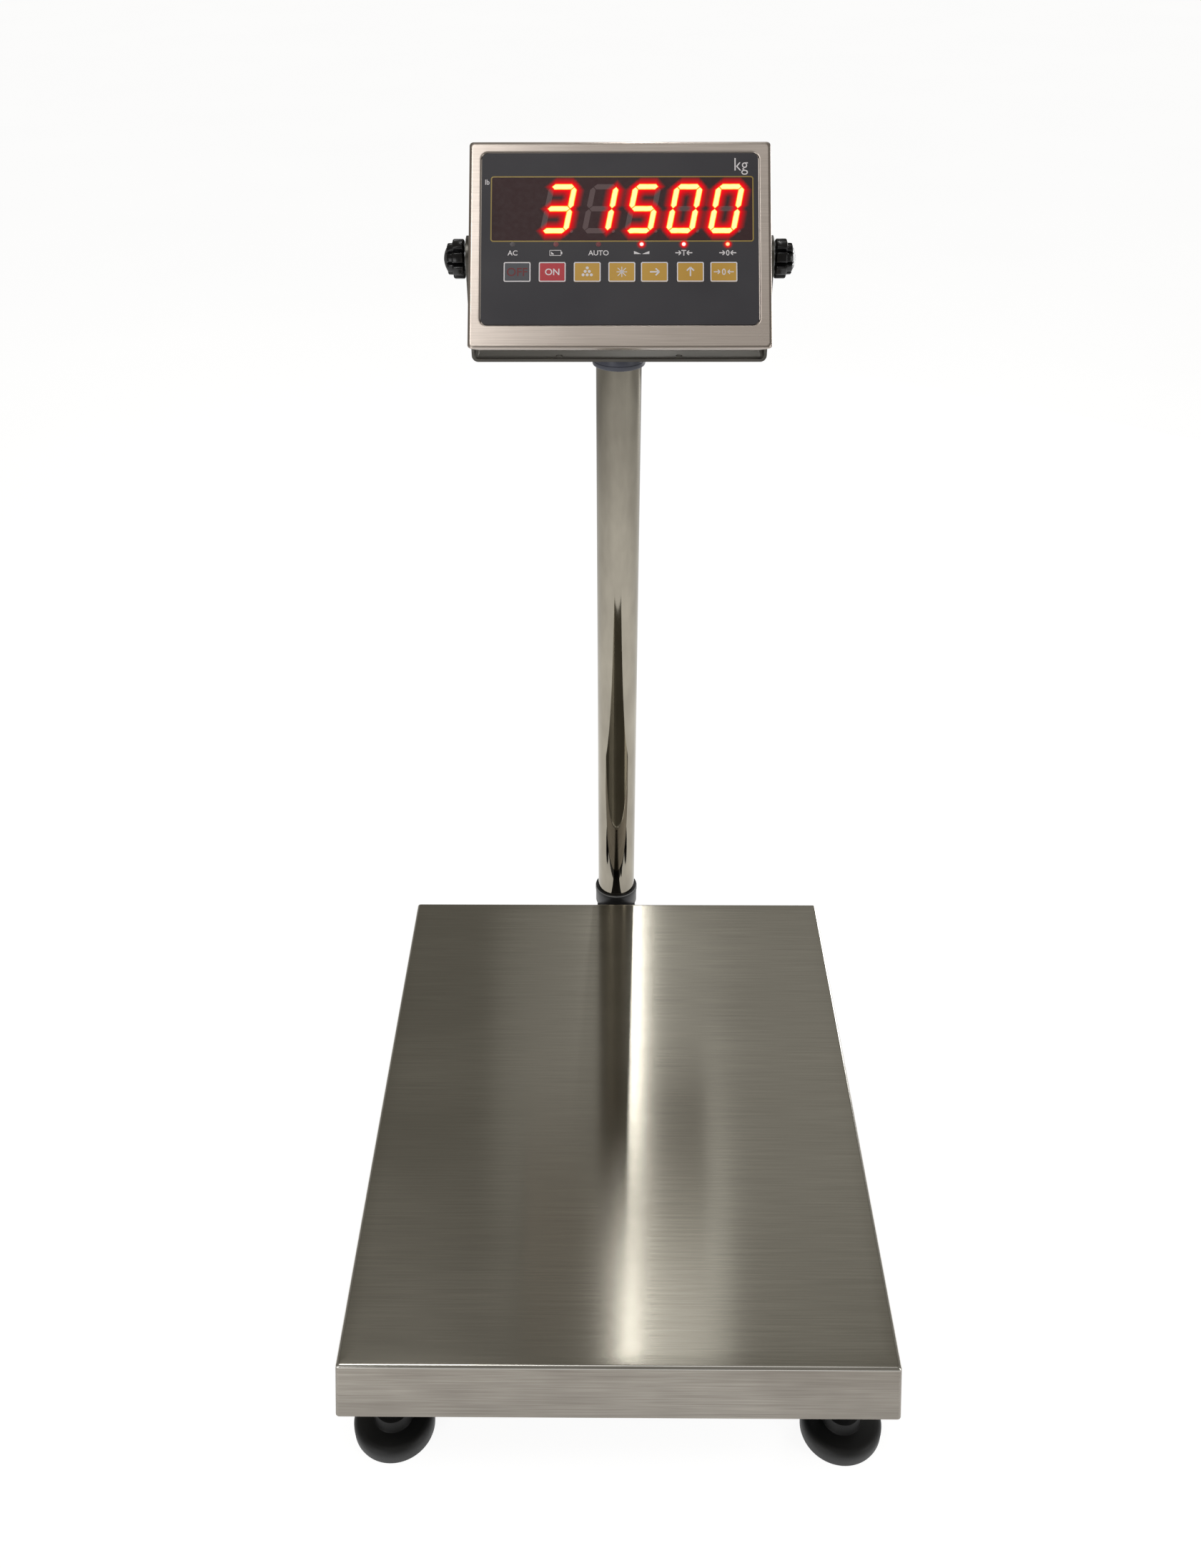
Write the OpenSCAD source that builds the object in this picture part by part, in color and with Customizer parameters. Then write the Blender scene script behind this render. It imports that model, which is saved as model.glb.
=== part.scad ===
// Bench scale: platter on four levelling feet, column and tilting LED indicator.
// Row frame: X right, Y back, Z up, origin on the floor at the centre of the plan.

/* [Platter] */

// Platter width, left to right
platter_w = 400; // [380:5:440]
// Platter depth, front to back
platter_d = 500; // [480:5:520]
// Height of the turned-down skirt
skirt_h = 56; // [40:1:60]
// How far each skirt splays outward at its bottom edge
skirt_splay = 5; // [0:0.5:8]
// Bend radius along the platter edge
edge_r = 3; // [2:0.5:4]

/* [Column] */

// Outside diameter of the column tube
column_dia = 38; // [36:0.5:40]
// Column axis behind the platter's back edge
column_gap = 81.5; // [75:0.5:110]
// Underside of the indicator bracket above the floor
bracket_z = 661.5; // [560:0.5:900]

/* [Indicator] */

// Indicator width
case_w = 228.4; // [222:0.2:236]
// Lean of the face back from vertical as stored
face_tilt = 40.4; // [30:0.1:50]
// Pivot above the bracket's underside
pivot_up = 77; // [77:0.5:90]

/* [Feet] */

// Foot pad diameter
pad_dia = 62; // [50:1:64]
// Distance between foot axes, left to right
foot_pitch_x = 345; // [340:1:350]
// Distance between foot axes, front to back
foot_pitch_y = 440; // [430:1:440]

/* [Hidden] */

$fn = 64;

// Plan: y is measured back from the platter's front edge, then moved to the row frame.
column_y = platter_d + column_gap;
bracket_reach = 35;
plan_mid_y = (column_y + bracket_reach - skirt_splay) / 2;
slop = 0.05;

// Platform stack
platter_top = 130;
sheet = 1.5;
bumper_t = 6;
upper_top = platter_top - sheet - bumper_t;
tube = 25;
upper_bot = upper_top - tube;
plate_t = 6;
spacer_t = 4;
cell_top = upper_bot - plate_t - spacer_t;
cell_h = 36;
cell_bot = cell_top - cell_h;
web_t = 4;
web_top = cell_bot - spacer_t;
cell_l = 150;
cell_w = 40;
mid_y = platter_d / 2;

// Base frame
base_z = 38;
base_h = 30;
base_top = base_z + base_h;
base_wall = 2;
rail_x = 150;
base_front = 20;
base_back = platter_d - 20;

// Feet
foot_x = foot_pitch_x / 2;
pad_t = 16;
hub_top = 26;
stud_r = 5;
nut_z = 26.3;
nut_t = 6.5;
foot_plate_t = 6;
foot_plate_z = base_z + 8;

// Column
column_r = column_dia / 2;
column_wall = 1.5;
column_in = column_r - column_wall;
socket_r = column_r + 3;
socket_h = 20;
stub_r = column_in - slop;
stub_top = 150;
collar_floor = 3;
collar_h = 12.5;
column_end = bracket_z - collar_floor;
screw_z = base_top + 10;
screw_r = 2.5;

// Bracket
bracket_t = 2.5;
bend_r = 5;
arm_gap = 1.6;
bracket_in = case_w / 2 + arm_gap;
bracket_out = bracket_in + bracket_t;
pivot_fwd = 24.2;
arm_r = 17;
wall_x = 48.4;
wall_y = 27;
wall_hole_r = 2.75;

// Indicator case, in its own frame: y back into the case, z up the face, pivot at the origin
wedge = 22;
face_h = 162;
case_d = 86;
face_y = -33;
face_top = 76;
face_bot = face_top - face_h;
case_wall = 1.5;
face_wall = 2.5;
cover_t = 2;
flange_in = 12;
stud_m = 3;
clear = 0.3;
side_h = face_h * cos(wedge);
rear_y = face_y + case_d * cos(wedge);
rear_z = face_bot + case_d * sin(wedge);

// Front panel layout, x from the centre and z up the face
pocket = 1;
overlay_t = 0.6;
overlay_y = face_y + pocket - overlay_t;
overlay_w = 209;
overlay_z0 = -67.3;
overlay_z1 = 67.1;
overlay_r = 5;
win_x0 = -96.5;
win_x1 = 99.7;
win_z0 = -1.6;
win_z1 = 47.7;
digit_x = [-77.7, -46.2, -14.7, 17.3, 48.6, 80.1];
digit_z = 23.2;
digit_half = 19.4;
digit_reach = 8.6;
seg_w = 4.3;
seg_gap = 0.5;
slant = tan(11);
led_x = [-80.8, -48.1, -16.1, 16.4, 48.1, 81.1];
led_z = -4.6;
led_r = 2;
key_x = [-77.2, -50.8, -24.5, 1.5, 26, 53, 78.1];
key_z = -26.3;
key_w = 20.3;
key_h = 15.4;
key_t = 1.7;
key_y = overlay_y - 0.15;
knob_x = bracket_out + clear;
knob_washer_t = 1.2;

// ---- shared shapes ----

module at_plan() translate([0, -plan_mid_y, 0]) children();

module at_column() at_plan() translate([0, column_y, 0]) children();

module at_head()
    at_plan()
    translate([0, column_y - pivot_fwd, bracket_z + pivot_up])
    rotate([-face_tilt, 0, 0])
    children();

// Rear frame of the case: y = 0 on the back face, -y towards the front, z up the back
module at_rear() translate([0, rear_y, rear_z]) rotate([wedge, 0, 0]) children();

module both_sides() {
    children();
    mirror([1, 0, 0]) children();
}

// A 2D profile in (y, z) drawn out along X between x0 and x1
module along_x(x0, x1)
    translate([x0, 0, 0])
    rotate([90, 0, 90])
    linear_extrude(x1 - x0)
    children();

// A cylinder along +X starting at x
module rod_x(x, r, l) translate([x, 0, 0]) rotate([0, 90, 0]) cylinder(r = r, h = l);

module box(x, y, z) translate([x[0], y[0], z[0]]) cube([x[1] - x[0], y[1] - y[0], z[1] - z[0]]);

// A tube along Y, open at both ends unless its low or high end is closed by a welded cap
module tube_y(x, y, z, w, h, t, low_cap = false, high_cap = false) difference() {
    box([x - w / 2, x + w / 2], y, [z, z + h]);
    box([x - w / 2 + t, x + w / 2 - t],
        [y[0] + (low_cap ? t : -1), y[1] + (high_cap ? -t : 1)],
        [z + t, z + h - t]);
}

module tube_x(x, y, z, w, h, t) difference() {
    box(x, [y - w / 2, y + w / 2], [z, z + h]);
    box([x[0] - 1, x[1] + 1], [y - w / 2 + t, y + w / 2 - t], [z + t, z + h - t]);
}

module ring(r_out, r_in, h) difference() {
    cylinder(r = r_out, h = h);
    translate([0, 0, -1]) cylinder(r = r_in, h = h + 2);
}

module hex(af, h) cylinder(r = af / 2 / cos(30), h = h, $fn = 6);

// Points on an arc, for rounded corners in a profile
function arc(c, r, a0, a1, n = 5) =
    [for (i = [0 : n]) [c[0] + r * cos(a0 + (a1 - a0) * i / n), c[1] + r * sin(a0 + (a1 - a0) * i / n)]];

// Rounded rectangle with true arcs
module round_rect(x, z, r) {
    translate([x[0] + r, z[0]]) square([x[1] - x[0] - 2 * r, z[1] - z[0]]);
    translate([x[0], z[0] + r]) square([x[1] - x[0], z[1] - z[0] - 2 * r]);
    for (cx = [x[0] + r, x[1] - r], cz = [z[0] + r, z[1] - r])
        translate([cx, cz]) circle(r);
}

// A panel part parallel to the face, from y and t thick, with its outline in (x, z)
module on_face(y, t) translate([0, y + t, 0]) rotate([90, 0, 0]) linear_extrude(t) children();

// ---- platter ----

// Half of the pan's section, inset by t: flat top, rounded edge, skirt splayed outward
function pan_half(half, t) =
    let (r = edge_r - t, lean = atan(skirt_splay / skirt_h))
    concat(arc([half - edge_r, platter_top - edge_r], r, 90, -lean),
        [[half + skirt_splay - t, platter_top - skirt_h - (t > 0 ? 1 : 0)]]);

function mirrored(p) = [for (i = [len(p) - 1 : -1 : 0]) [-p[i][0], p[i][1]]];

module pan_solid(t) intersection() {
    translate([0, platter_d + 20, 0])
        rotate([90, 0, 0])
        linear_extrude(platter_d + 40)
        polygon(concat(pan_half(platter_w / 2, t), mirrored(pan_half(platter_w / 2, t))));
    translate([0, mid_y, 0])
        along_x(-platter_w, platter_w)
        polygon(concat(pan_half(platter_d / 2, t), mirrored(pan_half(platter_d / 2, t))));
}

module platter() color("#8f8b80") at_plan() difference() {
    pan_solid(0);
    pan_solid(sheet);
}

module at_bumpers() for (x = [-rail_x, rail_x], y = [58, platter_d - 58]) translate([x, y, 0]) children();

module platter_bumpers() color("#1b1b1c") at_plan() at_bumpers() {
    translate([0, 0, upper_top]) cylinder(r = 11, h = bumper_t);
    translate([0, 0, upper_top - 4]) cylinder(r = 4, h = 4.5);
}

// ---- upper frame and load cell ----

module upper_rails() color("#7c8084") at_plan() difference() {
    for (x = [-rail_x, rail_x])
        tube_y(x, [45, platter_d - 45], upper_bot, tube, tube, base_wall, low_cap = true);
    at_bumpers() translate([0, 0, upper_top - 5]) cylinder(r = 4, h = 6);
}

module upper_crosses() color("#7c8084") at_plan()
    for (y = [57.5, mid_y - 37.5, mid_y + 37.5, platter_d - 57.5])
        tube_x([-rail_x + tube / 2, rail_x - tube / 2], y, upper_bot, tube, tube, base_wall);

bolt_x = 10;
bolt_r = 4;
live_y = mid_y - cell_l / 2 + 12;
fixed_y = mid_y + cell_l / 2 - 12;
cell_clear = 5;

module at_cell_bolts(y) for (x = [-bolt_x, bolt_x]) translate([x, y, 0]) children();

module upper_plate() color("#6f7377") at_plan() difference() {
    box([-55, 55], [mid_y - 85, mid_y + 60], [upper_bot - plate_t, upper_bot]);
    at_cell_bolts(live_y) translate([0, 0, upper_bot - plate_t - 1]) cylinder(r = bolt_r + slop, h = plate_t + 2);
}

module load_cell() color("#b9bcc0") at_plan() difference() {
    box([-cell_w / 2, cell_w / 2], [mid_y - cell_l / 2, mid_y + cell_l / 2], [cell_bot, cell_top]);
    for (y = [-20, 20]) translate([0, mid_y + y, cell_bot + cell_h / 2])
        rod_x(-cell_w / 2 - 1, 12, cell_w + 2);
    box([-cell_w / 2 - 1, cell_w / 2 + 1], [mid_y - 20, mid_y + 20], [cell_bot + 13, cell_top - 13]);
    at_cell_bolts(live_y) translate([0, 0, cell_top - 16]) cylinder(r = bolt_r + slop, h = 17);
    at_cell_bolts(fixed_y) translate([0, 0, cell_bot - 1]) cylinder(r = bolt_r + slop, h = 17);
}

module cell_spacer(y, z) difference() {
    box([-cell_w / 2, cell_w / 2], [y - 12, y + 12], [z, z + spacer_t]);
    at_cell_bolts(y) translate([0, 0, z - 1]) cylinder(r = bolt_r + slop, h = spacer_t + 2);
}

module load_cell_spacers() color("#8a8d90") at_plan() {
    cell_spacer(live_y, cell_top);
    cell_spacer(fixed_y, web_top);
}

module load_cell_bolts() color("#55585b") at_plan() {
    at_cell_bolts(live_y) {
        translate([0, 0, cell_top - 14]) cylinder(r = bolt_r, h = 14 + spacer_t + plate_t);
        translate([0, 0, upper_bot]) hex(13, cell_clear);
    }
    at_cell_bolts(fixed_y) {
        translate([0, 0, web_top - web_t]) cylinder(r = bolt_r, h = web_t + spacer_t + 14);
        translate([0, 0, web_top - web_t - cell_clear]) hex(13, cell_clear);
    }
}

module overload_stops() color("#6a6d70") at_plan()
    for (x = [-rail_x, rail_x], y = [110, platter_d - 110]) translate([x, y, base_top]) {
        hex(16, 7);
        cylinder(r = 5, h = upper_bot - base_top - 2);
    }

// ---- base frame ----

module base_rails() color("#3b3d40") at_plan()
    for (x = [-rail_x, rail_x])
        tube_y(x, [base_front, base_back], base_z, base_h, base_h, base_wall, low_cap = true);

module base_crosses() color("#3b3d40") at_plan()
    for (y = [base_front + base_h / 2, base_back - base_h / 2])
        tube_x([-rail_x + base_h / 2, rail_x - base_h / 2], y, base_z, base_h, base_h, base_wall);

module base_beam() color("#46484b") at_plan() difference() {
    box([-50, 50], [base_front + base_h, base_back - base_h], [web_top - web_t, base_top - 1]);
    box([-47, 47], [0, platter_d], [web_top, base_top]);
    at_cell_bolts(fixed_y) translate([0, 0, web_top - web_t - 1]) cylinder(r = bolt_r + slop, h = web_t + 2);
}

module at_foot(sx, sy)
    at_plan()
    translate([sx * foot_x, mid_y + sy * foot_pitch_y / 2, 0])
    children();

module at_feet() for (sx = [-1, 1], sy = [-1, 1]) at_foot(sx, sy) children();

// An ear welded to the outer side of the rail, threaded for the foot stud
module foot_plate() difference() {
    box([-190 + foot_x, -rail_x + foot_x - base_h / 2], [-13, 25], [foot_plate_z, foot_plate_z + foot_plate_t]);
    translate([0, 0, foot_plate_z - 1]) cylinder(r = stud_r + slop, h = foot_plate_t + 2);
}

module foot_plates() color("#3b3d40") {
    both_sides() at_foot(-1, -1) foot_plate();
    both_sides() at_foot(-1, 1) mirror([0, 1, 0]) foot_plate();
}

module foot_locknuts() color("#a9abad") at_feet()
    translate([0, 0, foot_plate_z + foot_plate_t])
    rotate(30)
    difference() {
        hex(14, 5);
        translate([0, 0, -1]) cylinder(r = stud_r + slop, h = 7);
    }

module foot_pad(sx, sy) color("#17181a") at_foot(sx, sy) difference() {
    rotate_extrude() polygon([
        [0, 0], [pad_dia / 2 - 1.5, 0], [pad_dia / 2, 1.5], [pad_dia / 2, 11],
        [pad_dia / 2 - 3, pad_t - 1], [pad_dia / 2 - 6, pad_t],
        [15, pad_t], [13.5, hub_top - 1], [12.5, hub_top], [0, hub_top]
    ]);
    translate([0, 0, 8]) cylinder(r = stud_r + slop, h = 30);
}

module foot_stud(sx, sy) color("#b8babd") at_foot(sx, sy) {
    translate([0, 0, 8 + clear]) cylinder(r = stud_r, h = 53);
    translate([0, 0, nut_z]) hex(15, nut_t);
}

module foot_pad_fl() foot_pad(-1, -1);
module foot_pad_fr() foot_pad(1, -1);
module foot_pad_rl() foot_pad(-1, 1);
module foot_pad_rr() foot_pad(1, 1);
module foot_stud_fl() foot_stud(-1, -1);
module foot_stud_fr() foot_stud(1, -1);
module foot_stud_rl() foot_stud(-1, 1);
module foot_stud_rr() foot_stud(1, 1);

module at_level() at_plan() translate([-rail_x, mid_y + 70, base_top]) children();

module level_housing() color("#d0cfc8") at_level() difference() {
    cylinder(r = 12, h = 10);
    translate([0, 0, 3]) cylinder(r = 9, h = 8);
}

module level_vial() color("#b7d84a") at_level() translate([0, 0, 3]) cylinder(r = 9 - slop, h = 6);

module gland(l) {
    hex(15, 4);
    translate([0, 0, 4]) ring(6.5, 3.2, l - 4);
}

// The load cell's cable leaves the base frame here, beside the column arm
module cable_gland() color("#222325") at_plan()
    translate([50, base_back, base_z + base_h / 2])
    rotate([-90, 0, 0])
    difference() {
        gland(16);
        translate([0, 0, -1]) cylinder(r = 3.2, h = 8);
    }

// ---- column ----

module at_socket_screws() for (a = [50, 130])
    translate([0, 0, screw_z]) rotate([0, 0, a]) children();

module socket_holes(r) at_socket_screws() rod_x(column_in - 6, r, 14);

module column_arm() color("#3b3d40") at_plan() {
    tube_y(0, [base_back, column_y + 20], base_z, 40, base_h, base_wall, high_cap = true);
    translate([0, column_y, base_top]) difference() {
        ring(stub_r, stub_r - 2.5, stub_top - base_top);
        translate([0, 0, -base_top]) socket_holes(screw_r + slop);
    }
}

// The trim socket: a plain sleeve with a wider rim band at the top
module column_socket() color("#2c2d2d") at_column() difference() {
    translate([0, 0, base_top]) rotate_extrude() polygon([
        [column_r + slop, 0], [socket_r, 0], [socket_r, socket_h - 1], [socket_r - 1, socket_h],
        [column_r + slop, socket_h]
    ]);
    socket_holes(screw_r + slop);
}

module socket_screws() color("#8d9093") at_column() at_socket_screws()
    rod_x(column_in - 4, screw_r, socket_r - column_in + 4);

module column_tube() color("#c9cacc") at_column() difference() {
    translate([0, 0, base_top]) ring(column_r, column_in, column_end - base_top);
    socket_holes(screw_r + slop);
}

bolt_pitch = 10;
bolt5_r = 2.5;

module at_bracket_screws() for (x = [-bolt_pitch, bolt_pitch]) translate([x, 0, 0]) children();

module column_plug() color("#3a3b3e") at_column() difference() {
    translate([0, 0, column_end - 28]) ring(column_in - slop, 6, 28);
    at_bracket_screws() translate([0, 0, column_end - 14]) cylinder(r = bolt5_r + slop, h = 15);
}

module upper_collar() color("#6e7183") at_column() difference() {
    translate([0, 0, bracket_z - collar_h]) rotate_extrude() polygon([
        [column_r + slop, 0], [socket_r - 1, 0], [socket_r, 1], [socket_r, collar_h],
        [6, collar_h], [6, collar_h - collar_floor], [column_r + slop, collar_h - collar_floor]
    ]);
    at_bracket_screws() translate([0, 0, column_end - 1]) cylinder(r = bolt5_r + slop, h = 6);
}

// ---- indicator bracket ----

// U section in (x, z), with bent lower corners
function u_half(out, r, z0) = concat([[out, 200]], arc([bracket_out - bend_r, bend_r], r, 0, -90, 6));

module u_outline(t) polygon(concat(
    u_half(bracket_out - t, bend_r - t, t), mirrored(u_half(bracket_out - t, bend_r - t, t))));

// Side view of the arm in (y, z): full depth at the base, narrowing to a round end
function arm_side() = concat(
    [[bracket_reach, 0], [bracket_reach, 22]],
    arc([-pivot_fwd, pivot_up], arm_r, 35, 180, 12),
    [[-bracket_reach - 6.2, 22], [-bracket_reach, 14], [-bracket_reach, 0]]);

module head_bracket() color("#a8a59c") at_column() translate([0, 0, bracket_z]) difference() {
    intersection() {
        difference() {
            translate([0, 60, 0]) rotate([90, 0, 0]) linear_extrude(120) u_outline(0);
            translate([0, 61, 0]) rotate([90, 0, 0]) linear_extrude(122) u_outline(bracket_t);
        }
        along_x(-150, 150) polygon(arm_side());
    }
    translate([0, -pivot_fwd, pivot_up]) rod_x(-150, stud_m + clear, 300);
    for (x = [-wall_x, wall_x], y = [-wall_y, wall_y])
        translate([x, y, -1]) cylinder(r = wall_hole_r, h = 6);
    translate([0, 0, -1]) cylinder(r = 6, h = 6);
    at_bracket_screws() translate([0, 0, -1]) cylinder(r = bolt5_r + slop, h = 6);
}

module bracket_screws() color("#9b9da0") at_column() at_bracket_screws() {
    translate([0, 0, column_end - 12]) cylinder(r = bolt5_r, h = 12 + collar_floor + bracket_t);
    translate([0, 0, bracket_z + bracket_t]) difference() {
        cylinder(r = 4.2, h = 2.6);
        translate([0, 0, 1.2]) hex(3, 2);
    }
}

// ---- indicator case ----

// Wedge section in (y, z): inset from the face by f, from the other walls by w, cut back by d
function case_section(f, w, d) =
    let (
        along = [cos(wedge), sin(wedge)],
        up = [-sin(wedge), cos(wedge)],
        z0 = face_bot + f * tan(wedge) + w / cos(wedge),
        z1 = face_top + f * tan(wedge) - w / cos(wedge),
        rb = [face_y, face_bot] + (case_d - d) * along + w * up,
        rt = rb + (side_h - 2 * w) * up
    )
    [[face_y + f, z0], [face_y + f, z1], rt, rb];

module case_prism(half, f, w, d) along_x(-half, half) polygon(case_section(f, w, d));

// Eases the four long edges and four corners of the face
module face_edge_cuts() {
    for (s = [-1, 1]) translate([s * case_w / 2, face_y, 0]) rotate([0, 0, 45])
        cube([2.4, 2.4, 400], center = true);
    for (z = [face_bot, face_top]) translate([0, face_y, z]) rotate([45, 0, 0])
        cube([400, 2.4, 2.4], center = true);
}

module key_slot(y, t) on_face(y, t) round_rect([-91, 92], [key_z - 9.7, key_z + 9.7], 2);

module case_shell() color("#a19d93") at_head() difference() {
    case_prism(case_w / 2, 0, 0, cover_t);
    case_prism(case_w / 2 - case_wall, face_wall, case_wall, cover_t + case_wall);
    face_edge_cuts();
    on_face(face_y - 1, pocket + 1)
        round_rect([-overlay_w / 2, overlay_w / 2], [overlay_z0, overlay_z1], overlay_r);
    on_face(face_y, 5) round_rect([win_x0, win_x1], [win_z0, win_z1], 1);
    for (x = led_x) translate([x, face_y + 6, led_z]) rotate([90, 0, 0]) cylinder(r = led_r + slop, h = 8);
    key_slot(face_y, 5);
    at_rear() box([-case_w / 2 + flange_in, case_w / 2 - flange_in], [-20, 5], [flange_in, side_h - flange_in]);
    rod_x(-150, stud_m + clear, 300);
    at_cover_screws() cylinder(r = 1.5 + slop, h = 20, center = true);
}

module at_cover_screws() at_rear()
    for (x = [-case_w / 2 + 6, 0, case_w / 2 - 6], z = [6, side_h - 6])
        translate([x, 0, z]) rotate([90, 0, 0]) children();

module rear_cover() color("#a19d93") at_head() difference() {
    at_rear() box([-case_w / 2, case_w / 2], [-cover_t, 0], [0, side_h]);
    at_cover_screws() cylinder(r = 1.5 + slop, h = 20, center = true);
    at_rear() at_head_gland() cylinder(r = 6.5, h = 20, center = true);
}

module cover_screws() color("#b5b7ba") at_head() at_cover_screws() {
    cylinder(r = 1.5, h = cover_t + case_wall + 2);
    translate([0, 0, -1.8]) difference() {
        cylinder(r = 3, h = 1.8);
        translate([0, 0, -1]) cube([0.8, 8, 3], center = true);
    }
}

module at_head_gland() translate([60, 0, 30]) rotate([-90, 0, 0]) children();

module head_gland() color("#222325") at_head() at_rear() at_head_gland() difference() {
    union() {
        gland(16);
        translate([0, 0, -6]) cylinder(r = 6.5 - slop, h = 6);
    }
    translate([0, 0, -7]) cylinder(r = 3.2, h = 30);
}

module pivot_bosses() color("#8d9093") at_head() both_sides() difference() {
    rod_x(case_w / 2 - case_wall - 14, 8, 14);
    rod_x(case_w / 2 - 30, stud_m + slop, 30);
}

module friction_washers() color("#e4e2da") at_head() both_sides() difference() {
    rod_x(case_w / 2, 12, arm_gap - 0.6);
    rod_x(case_w / 2 - 1, stud_m + clear, 4);
}

// ---- front panel ----

module keypad_overlay() color("#45454a") at_head() on_face(overlay_y, overlay_t) difference() {
    round_rect([-overlay_w / 2 + slop, overlay_w / 2 - slop], [overlay_z0 + slop, overlay_z1 - slop], overlay_r);
    round_rect([win_x0, win_x1], [win_z0, win_z1], 1);
    for (x = led_x) translate([x, led_z]) circle(led_r + slop);
    for (x = key_x) round_rect(
        [x - key_w / 2 - clear, x + key_w / 2 + clear],
        [key_z - key_h / 2 - clear, key_z + key_h / 2 + clear], 1.5);
}

module display_window() color("#3a1c20") at_head() on_face(overlay_y, 2.1)
    round_rect([win_x0 + slop, win_x1 - slop], [win_z0 + slop, win_z1 - slop], 1);

module_y = overlay_y + 2.1 + 0.6;

module digit_modules() color("#2a2527") at_head() for (x = digit_x)
    box([x - 14.5, x + 14.5], [module_y, module_y + 7], [digit_z - 24, digit_z + 24]);

// One lit bar, h: across, otherwise upright; centre (x, z), reach either way
module bar(x, z, reach, across) {
    b = seg_w / 2;
    a = reach - seg_gap;
    pts = across
        ? [[-a, 0], [-a + b, b], [a - b, b], [a, 0], [a - b, -b], [-a + b, -b]]
        : [[0, -a], [-b, -a + b], [-b, a - b], [0, a], [b, a - b], [b, -a + b]];
    polygon([for (p = pts) [x + p[0] + slant * (z + p[1]), z + p[1]]]);
}

// Bars a to g in order, given as [x, z, reach, across]
mid_bar = digit_half - seg_w / 2;
BARS = [
    [0, mid_bar, digit_reach, true], [digit_reach, mid_bar / 2, mid_bar / 2, false],
    [digit_reach, -mid_bar / 2, mid_bar / 2, false], [0, -mid_bar, digit_reach, true],
    [-digit_reach, -mid_bar / 2, mid_bar / 2, false], [-digit_reach, mid_bar / 2, mid_bar / 2, false],
    [0, 0, digit_reach, true]
];
// Bars that glow in each digit: blank, 3, 1, 5, 0, 0
LIT = [[], [0, 1, 2, 3, 6], [1, 2], [0, 2, 3, 5, 6], [0, 1, 2, 3, 4, 5], [0, 1, 2, 3, 4, 5]];

function is_lit(d, b) = len(search(b, LIT[d])) > 0;

module segments(lit) at_head() on_face(module_y - 0.3, 0.3)
    for (d = [0 : 5], b = [0 : 6]) if (is_lit(d, b) == lit)
        translate([digit_x[d], digit_z]) bar(BARS[b][0], BARS[b][1], BARS[b][2], BARS[b][3]);

module segments_lit() color("#ff5a30") segments(true);

module segments_unlit() color("#553c3e") segments(false);

module status_leds() color("#ff6a55") at_head() for (x = led_x)
    translate([x, overlay_y + 9, led_z]) rotate([90, 0, 0]) cylinder(r = led_r, h = 9);

module display_board() color("#2e6b3c") at_head()
    box([-97, 100], [module_y + 7, module_y + 8.6], [led_z - 4, digit_z + 27]);

module key_switches() color("#2b2b2d") at_head() {
    for (x = key_x) {
        box([x - 3, x + 3], [key_y + key_t + 3.6, key_y + key_t + 7], [key_z - 3, key_z + 3]);
        translate([x, key_y + key_t + 3.7, key_z]) rotate([90, 0, 0]) cylinder(r = 1.7, h = 3);
    }
    box([-95, 95], [key_y + key_t + 7, key_y + key_t + 8.6], [key_z - 12, key_z + 12]);
}

module battery() color("#3c5a8a") at_head() at_rear() box([-60, 40], [-37, -4.5], [12, 59]);

module main_board() color("#2e6b3c") at_head() at_rear() {
    box([-75, 75], [-8, -6.4], [70, 136]);
    box([-60, -10], [-24, -8], [80, 115]);
    for (x = [-70, 70], z = [75, 131]) translate([x, -3.4, z]) rotate([90, 0, 0]) cylinder(r = 3, h = 3);
}

// ---- keys ----

module key(i, c) color(c) at_head() on_face(key_y, key_t) round_rect(
    [key_x[i] - key_w / 2, key_x[i] + key_w / 2], [key_z - key_h / 2, key_z + key_h / 2], 1.2);

module key_off() key(0, "#4a4a50");
module key_on() key(1, "#c9343c");
module key_count() key(2, "#d4a843");
module key_star() key(3, "#d4a843");
module key_shift() key(4, "#d4a843");
module key_up() key(5, "#d4a843");
module key_zero() key(6, "#d4a843");

// ---- knobs ----

module knob_washer() color("#c4c5c8") at_head() difference() {
    rod_x(knob_x, 9, knob_washer_t);
    rod_x(knob_x - 1, stud_m + slop, 4);
}

// A disc along +X with n flutes cut into its rim, leaving n lobes
module fluted(x, r, l, flute, n) difference() {
    rod_x(x, r, l);
    for (i = [0 : n - 1]) rotate([(i + 0.5) * 360 / n, 0, 0]) translate([0, 0, r + 0.8]) rod_x(x - 1, flute, l + 2);
}

module knob() color("#19181b") at_head() {
    x0 = knob_x + knob_washer_t + clear;
    fluted(x0, 14.5, 9, 3, 8);
    fluted(x0 + 9, 12, 4.4, 2.4, 8);
    translate([x0 + 13.4, 0, 0]) rotate([0, 90, 0]) rotate_extrude()
        polygon(concat([[0, -1], [7.9, -1]], arc([0, -9], 12, 48.6, 90, 6)));
    rod_x(case_w / 2 - 14, stud_m, x0 - case_w / 2 + 18);
}

module knob_washer_right() knob_washer();
module knob_washer_left() mirror([1, 0, 0]) knob_washer();
module knob_right() knob();
module knob_left() mirror([1, 0, 0]) knob();

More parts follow.
